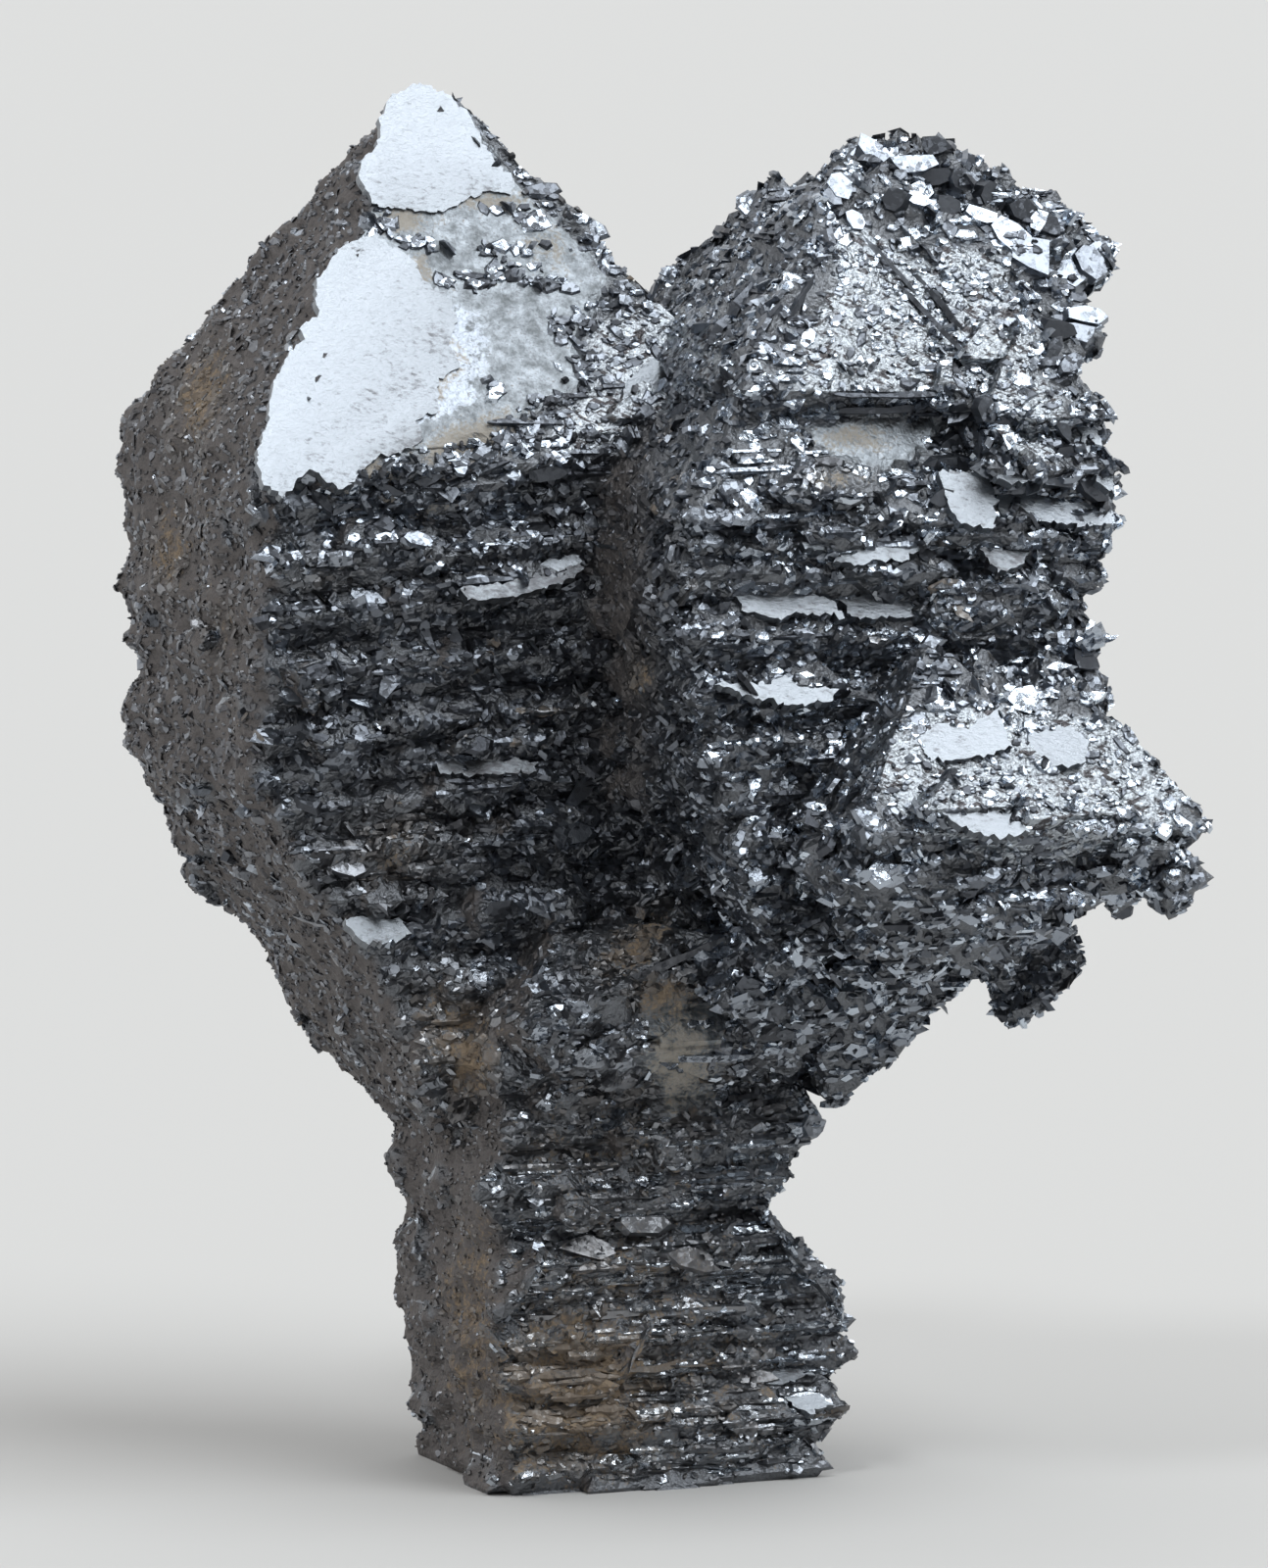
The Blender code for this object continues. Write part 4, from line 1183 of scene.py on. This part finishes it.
def plate_hematite(name, unevenness):
    """Tabular hematite crystals, as grown: each has its own lustre, from dull black to bright steel,
    and its faces are uneven, so that they glint in spots. The real growth marks, about 0.05 mm,
    are drawn at 0.08 and 0.12 mm, so that they show."""
    material, tree = new_material(name)
    place = add(tree, "TexCoord").outputs["Object"]
    shine, limonite_and_light, matt = (
        add(tree, "Attribute", attribute_name=key).outputs["Fac"]
        for key in ("shine", "limonite_and_light", "matt")
    )
    speck = add(
        tree, "TexNoise", {"Vector": place, "Scale": 1 / (0.08 * MM), "Detail": 3, "Roughness": 0.6}
    ).outputs["Fac"]
    ragged = add(
        tree, "TexNoise", {"Vector": place, "Scale": 1 / (0.5 * MM), "Detail": 4, "Roughness": 0.6}
    ).outputs["Fac"]
    lustre = add(tree, "ValToRGB", {0: shine}).outputs[0]
    ramp = lustre.node.color_ramp
    ramp.elements[0].color = linear("#46484d")
    ramp.elements[1].color = linear("#cfd9e4")
    ramp.elements.new(0.5).color = linear("#7e838b")
    ramp.elements.new(0.85).color = linear("#abb3be")
    half_matt = add(tree, "Math", {0: matt, 1: 0.6}, operation="MULTIPLY").outputs[0]
    lustre = add(
        tree, "Mix", {0: half_matt, 6: lustre, 7: linear("#6f6c6c")}, data_type="RGBA"
    ).outputs[2]
    # the limonite film, which over the foot also lightens the plates as painted light
    film_and_light = add(tree, "Math", {0: limonite_and_light, 1: 1.1}, operation="MULTIPLY", use_clamp=True).outputs[0]
    lustre = add(tree, "Mix", {0: film_and_light, 6: lustre, 7: linear("#88827b")}, data_type="RGBA").outputs[2]
    stain_edge = add(tree, "Math", {0: ragged, 1: 1.2, 2: -0.62}, operation="MULTIPLY_ADD").outputs[0]
    stain_grain = add(tree, "Math", {0: speck, 1: 0.8, 2: -0.4}, operation="MULTIPLY_ADD").outputs[0]
    stain_and_light_field = add(tree, "Math", {0: limonite_and_light, 1: stain_edge}, operation="ADD").outputs[0]
    stain_and_light_field = add(tree, "Math", {0: stain_and_light_field, 1: stain_grain}, operation="ADD").outputs[0]
    stain_and_light = add(
        tree, "MapRange", {"Value": stain_and_light_field, "From Min": 0.4, "From Max": 0.7, "To Max": 0.85}
    ).outputs[0]
    colour = add(tree, "Mix", {0: stain_and_light, 6: lustre, 7: linear("#75685a")}, data_type="RGBA").outputs[2]
    metallic = add(tree, "MapRange", {"Value": stain_and_light, "To Min": 1.0, "To Max": 0.0}).outputs[0]
    rough = add(tree, "MapRange", {"Value": shine, "To Min": 0.48, "To Max": 0.18}).outputs[0]
    rough = add(tree, "Math", {0: matt, 1: 0.12, 2: rough}, operation="MULTIPLY_ADD").outputs[0]
    rough = add(tree, "Math", {0: stain_and_light, 1: 0.4, 2: rough}, operation="MULTIPLY_ADD").outputs[0]
    facet = add(tree, "TexVoronoi", {"Vector": place, "Scale": 1 / (0.12 * MM)}).outputs["Color"]
    lean = add(tree, "VectorMath", {0: facet, 1: (0.5, 0.5, 0.5)}, operation="SUBTRACT").outputs[0]
    lean = add(tree, "VectorMath", {0: lean, "Scale": unevenness}, operation="SCALE").outputs[0]
    level = add(tree, "NewGeometry").outputs["Normal"]
    facet = add(tree, "VectorMath", {0: level, 1: lean}, operation="ADD").outputs[0]
    facet = add(tree, "VectorMath", {0: facet}, operation="NORMALIZE").outputs[0]
    bump = add(
        tree, "Bump", {"Height": speck, "Strength": 0.5, "Distance": 0.02 * MM, "Normal": facet}
    ).outputs[0]
    surface = add(
        tree,
        "BsdfPrincipled",
        {"Base Color": colour, "Metallic": metallic, "Roughness": rough, "Normal": bump},
    ).outputs[0]
    add(tree, "OutputMaterial", {0: surface})
    return material


def matt_paper():
    """Matt pale paper, which gives the plain warm-grey ground, faintly clouded every 300 mm or so."""
    material, tree = new_material("matt_paper")
    place = add(tree, "TexCoord").outputs["Object"]
    cloud = add(tree, "TexNoise", {"Vector": place, "Scale": 3.0, "Detail": 2}).outputs["Fac"]
    colour = add(
        tree, "Mix", {0: cloud, 6: linear("#c1c0be"), 7: linear("#c4c3c1")}, data_type="RGBA"
    ).outputs[2]
    surface = add(tree, "BsdfPrincipled", {"Base Color": colour, "Roughness": 0.9}).outputs[0]
    add(tree, "OutputMaterial", {0: surface})
    return material


def set_studio():
    """The camera, a wide softbox above right, a small one above left, a dim room and a pale floor."""
    deselect()
    bpy.ops.object.camera_add(location=camera_axes()[0], rotation=(math.pi / 2 - VIEW_DOWN, 0, 0))
    camera = bpy.context.object
    camera.data.sensor_fit = "VERTICAL"
    camera.data.sensor_height = SENSOR_HEIGHT
    camera.data.lens = SENSOR_HEIGHT * FOCAL_PIXELS / PHOTO_HEIGHT
    camera.data.clip_start = 0.01
    camera.data.clip_end = 10
    bpy.context.scene.camera = camera
    for towards, angle, energy in (((0.50, -0.25, 0.83), 46, 2.2), ((-0.30, -0.50, 0.81), 12, 0.6)):
        towards = Vector(towards).normalized()
        aim = towards.to_track_quat("Z", "Y").to_euler()
        bpy.ops.object.light_add(type="SUN", location=towards, rotation=aim)
        softbox = bpy.context.object.data
        softbox.angle = math.radians(angle)
        softbox.energy = energy
        softbox.color = (0.93, 0.97, 1.0)
    world = bpy.data.worlds.new("studio_room")
    bpy.context.scene.world = world
    world.use_nodes = True
    tree = world.node_tree
    tree.nodes.clear()
    seen = add(tree, "LightPath").outputs["Is Camera Ray"]
    direction = add(tree, "TexCoord").outputs["Generated"]
    parts = add(tree, "SeparateXYZ", {0: direction}).outputs
    depth = add(
        tree,
        "MapRange",
        {"Value": parts[1], "From Min": -0.2, "From Max": 0.9, "To Min": 0.17, "To Max": 0.72},
    ).outputs[0]
    height = add(
        tree,
        "MapRange",
        {"Value": parts[2], "From Min": 0.1, "From Max": 1.0, "To Min": 0.0, "To Max": 0.4},
    ).outputs[0]
    left = add(
        tree,
        "MapRange",
        {"Value": parts[0], "From Min": -0.4, "From Max": -1.0, "To Min": 0.0, "To Max": 0.5},
    ).outputs[0]
    strength = add(tree, "Math", {0: depth, 1: height}, operation="ADD").outputs[0]
    strength = add(tree, "Math", {0: strength, 1: left}, operation="ADD").outputs[0]
    room = add(tree, "Background", {"Color": linear("#ffffff"), "Strength": strength}).outputs[0]
    wall = add(tree, "Background", {"Color": linear("#dcdcdc"), "Strength": 1.0}).outputs[0]
    mixed = add(tree, "MixShader", {0: seen, 1: room, 2: wall}).outputs[0]
    add(tree, "OutputWorld", {0: mixed})
    deselect()
    bpy.ops.mesh.primitive_plane_add(size=6)
    floor = bpy.context.object
    floor.name = "paper_floor"
    floor.data.materials.append(matt_paper())
    bpy.context.scene.view_settings.view_transform = "Standard"


def finish_piece(piece, material):
    piece.data.materials.append(material)
    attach(piece, "root")


set_studio()
cluster = grown_body()
finish_piece(cluster, etched_martite())
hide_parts("crystal_cluster")
surface = triangle_soup(cluster.data)
surface_finish = zones(surface[1], surface[2])
plates_finish = plate_hematite("hematite_plates", unevenness=0.55)
large_finish = plate_hematite("large_hematite_plates", unevenness=0.3)
hexagon = tabular_crystal("hexagonal_plate", corners=6, rim=0.72)
pentagon = tabular_crystal("five_sided_plate", corners=5, rim=0.70)
lozenge = tabular_crystal("lozenge_plate", corners=4, rim=0.66)
broad_plate = tabular_crystal("broad_plate", corners=7, rim=0.88)
step_bar = growth_step("growth_step", cuts=5)
for number, (kind, count) in enumerate(PLATE_PIECES):
    grains = np.random.default_rng(PLATE_SEED + number)
    pattern = {4: lozenge, 5: pentagon, 6: hexagon}[kind]
    crust = druse(surface, surface_finish, pattern, f"hematite_plates_{number + 1}", count, grains)
    finish_piece(crust, plates_finish)
grains = np.random.default_rng(STEP_SEED)
carrier = BVHTree.FromObject(cluster, bpy.context.evaluated_depsgraph_get())
ledges = steps(carrier, surface, surface_finish, step_bar, "growth_steps", STEP_COUNT, grains)
finish_piece(ledges, plates_finish)
finish_piece(large_crystals(carrier, broad_plate, "large_hematite_plates", grains), large_finish)
finish_piece(laths(carrier, step_bar, "hematite_laths", grains), large_finish)
finish_piece(bright_layers(carrier, "clean_growth_layers", grains), clean_hematite())
for pattern in (hexagon, pentagon, lozenge, broad_plate, step_bar):
    bpy.data.objects.remove(pattern)
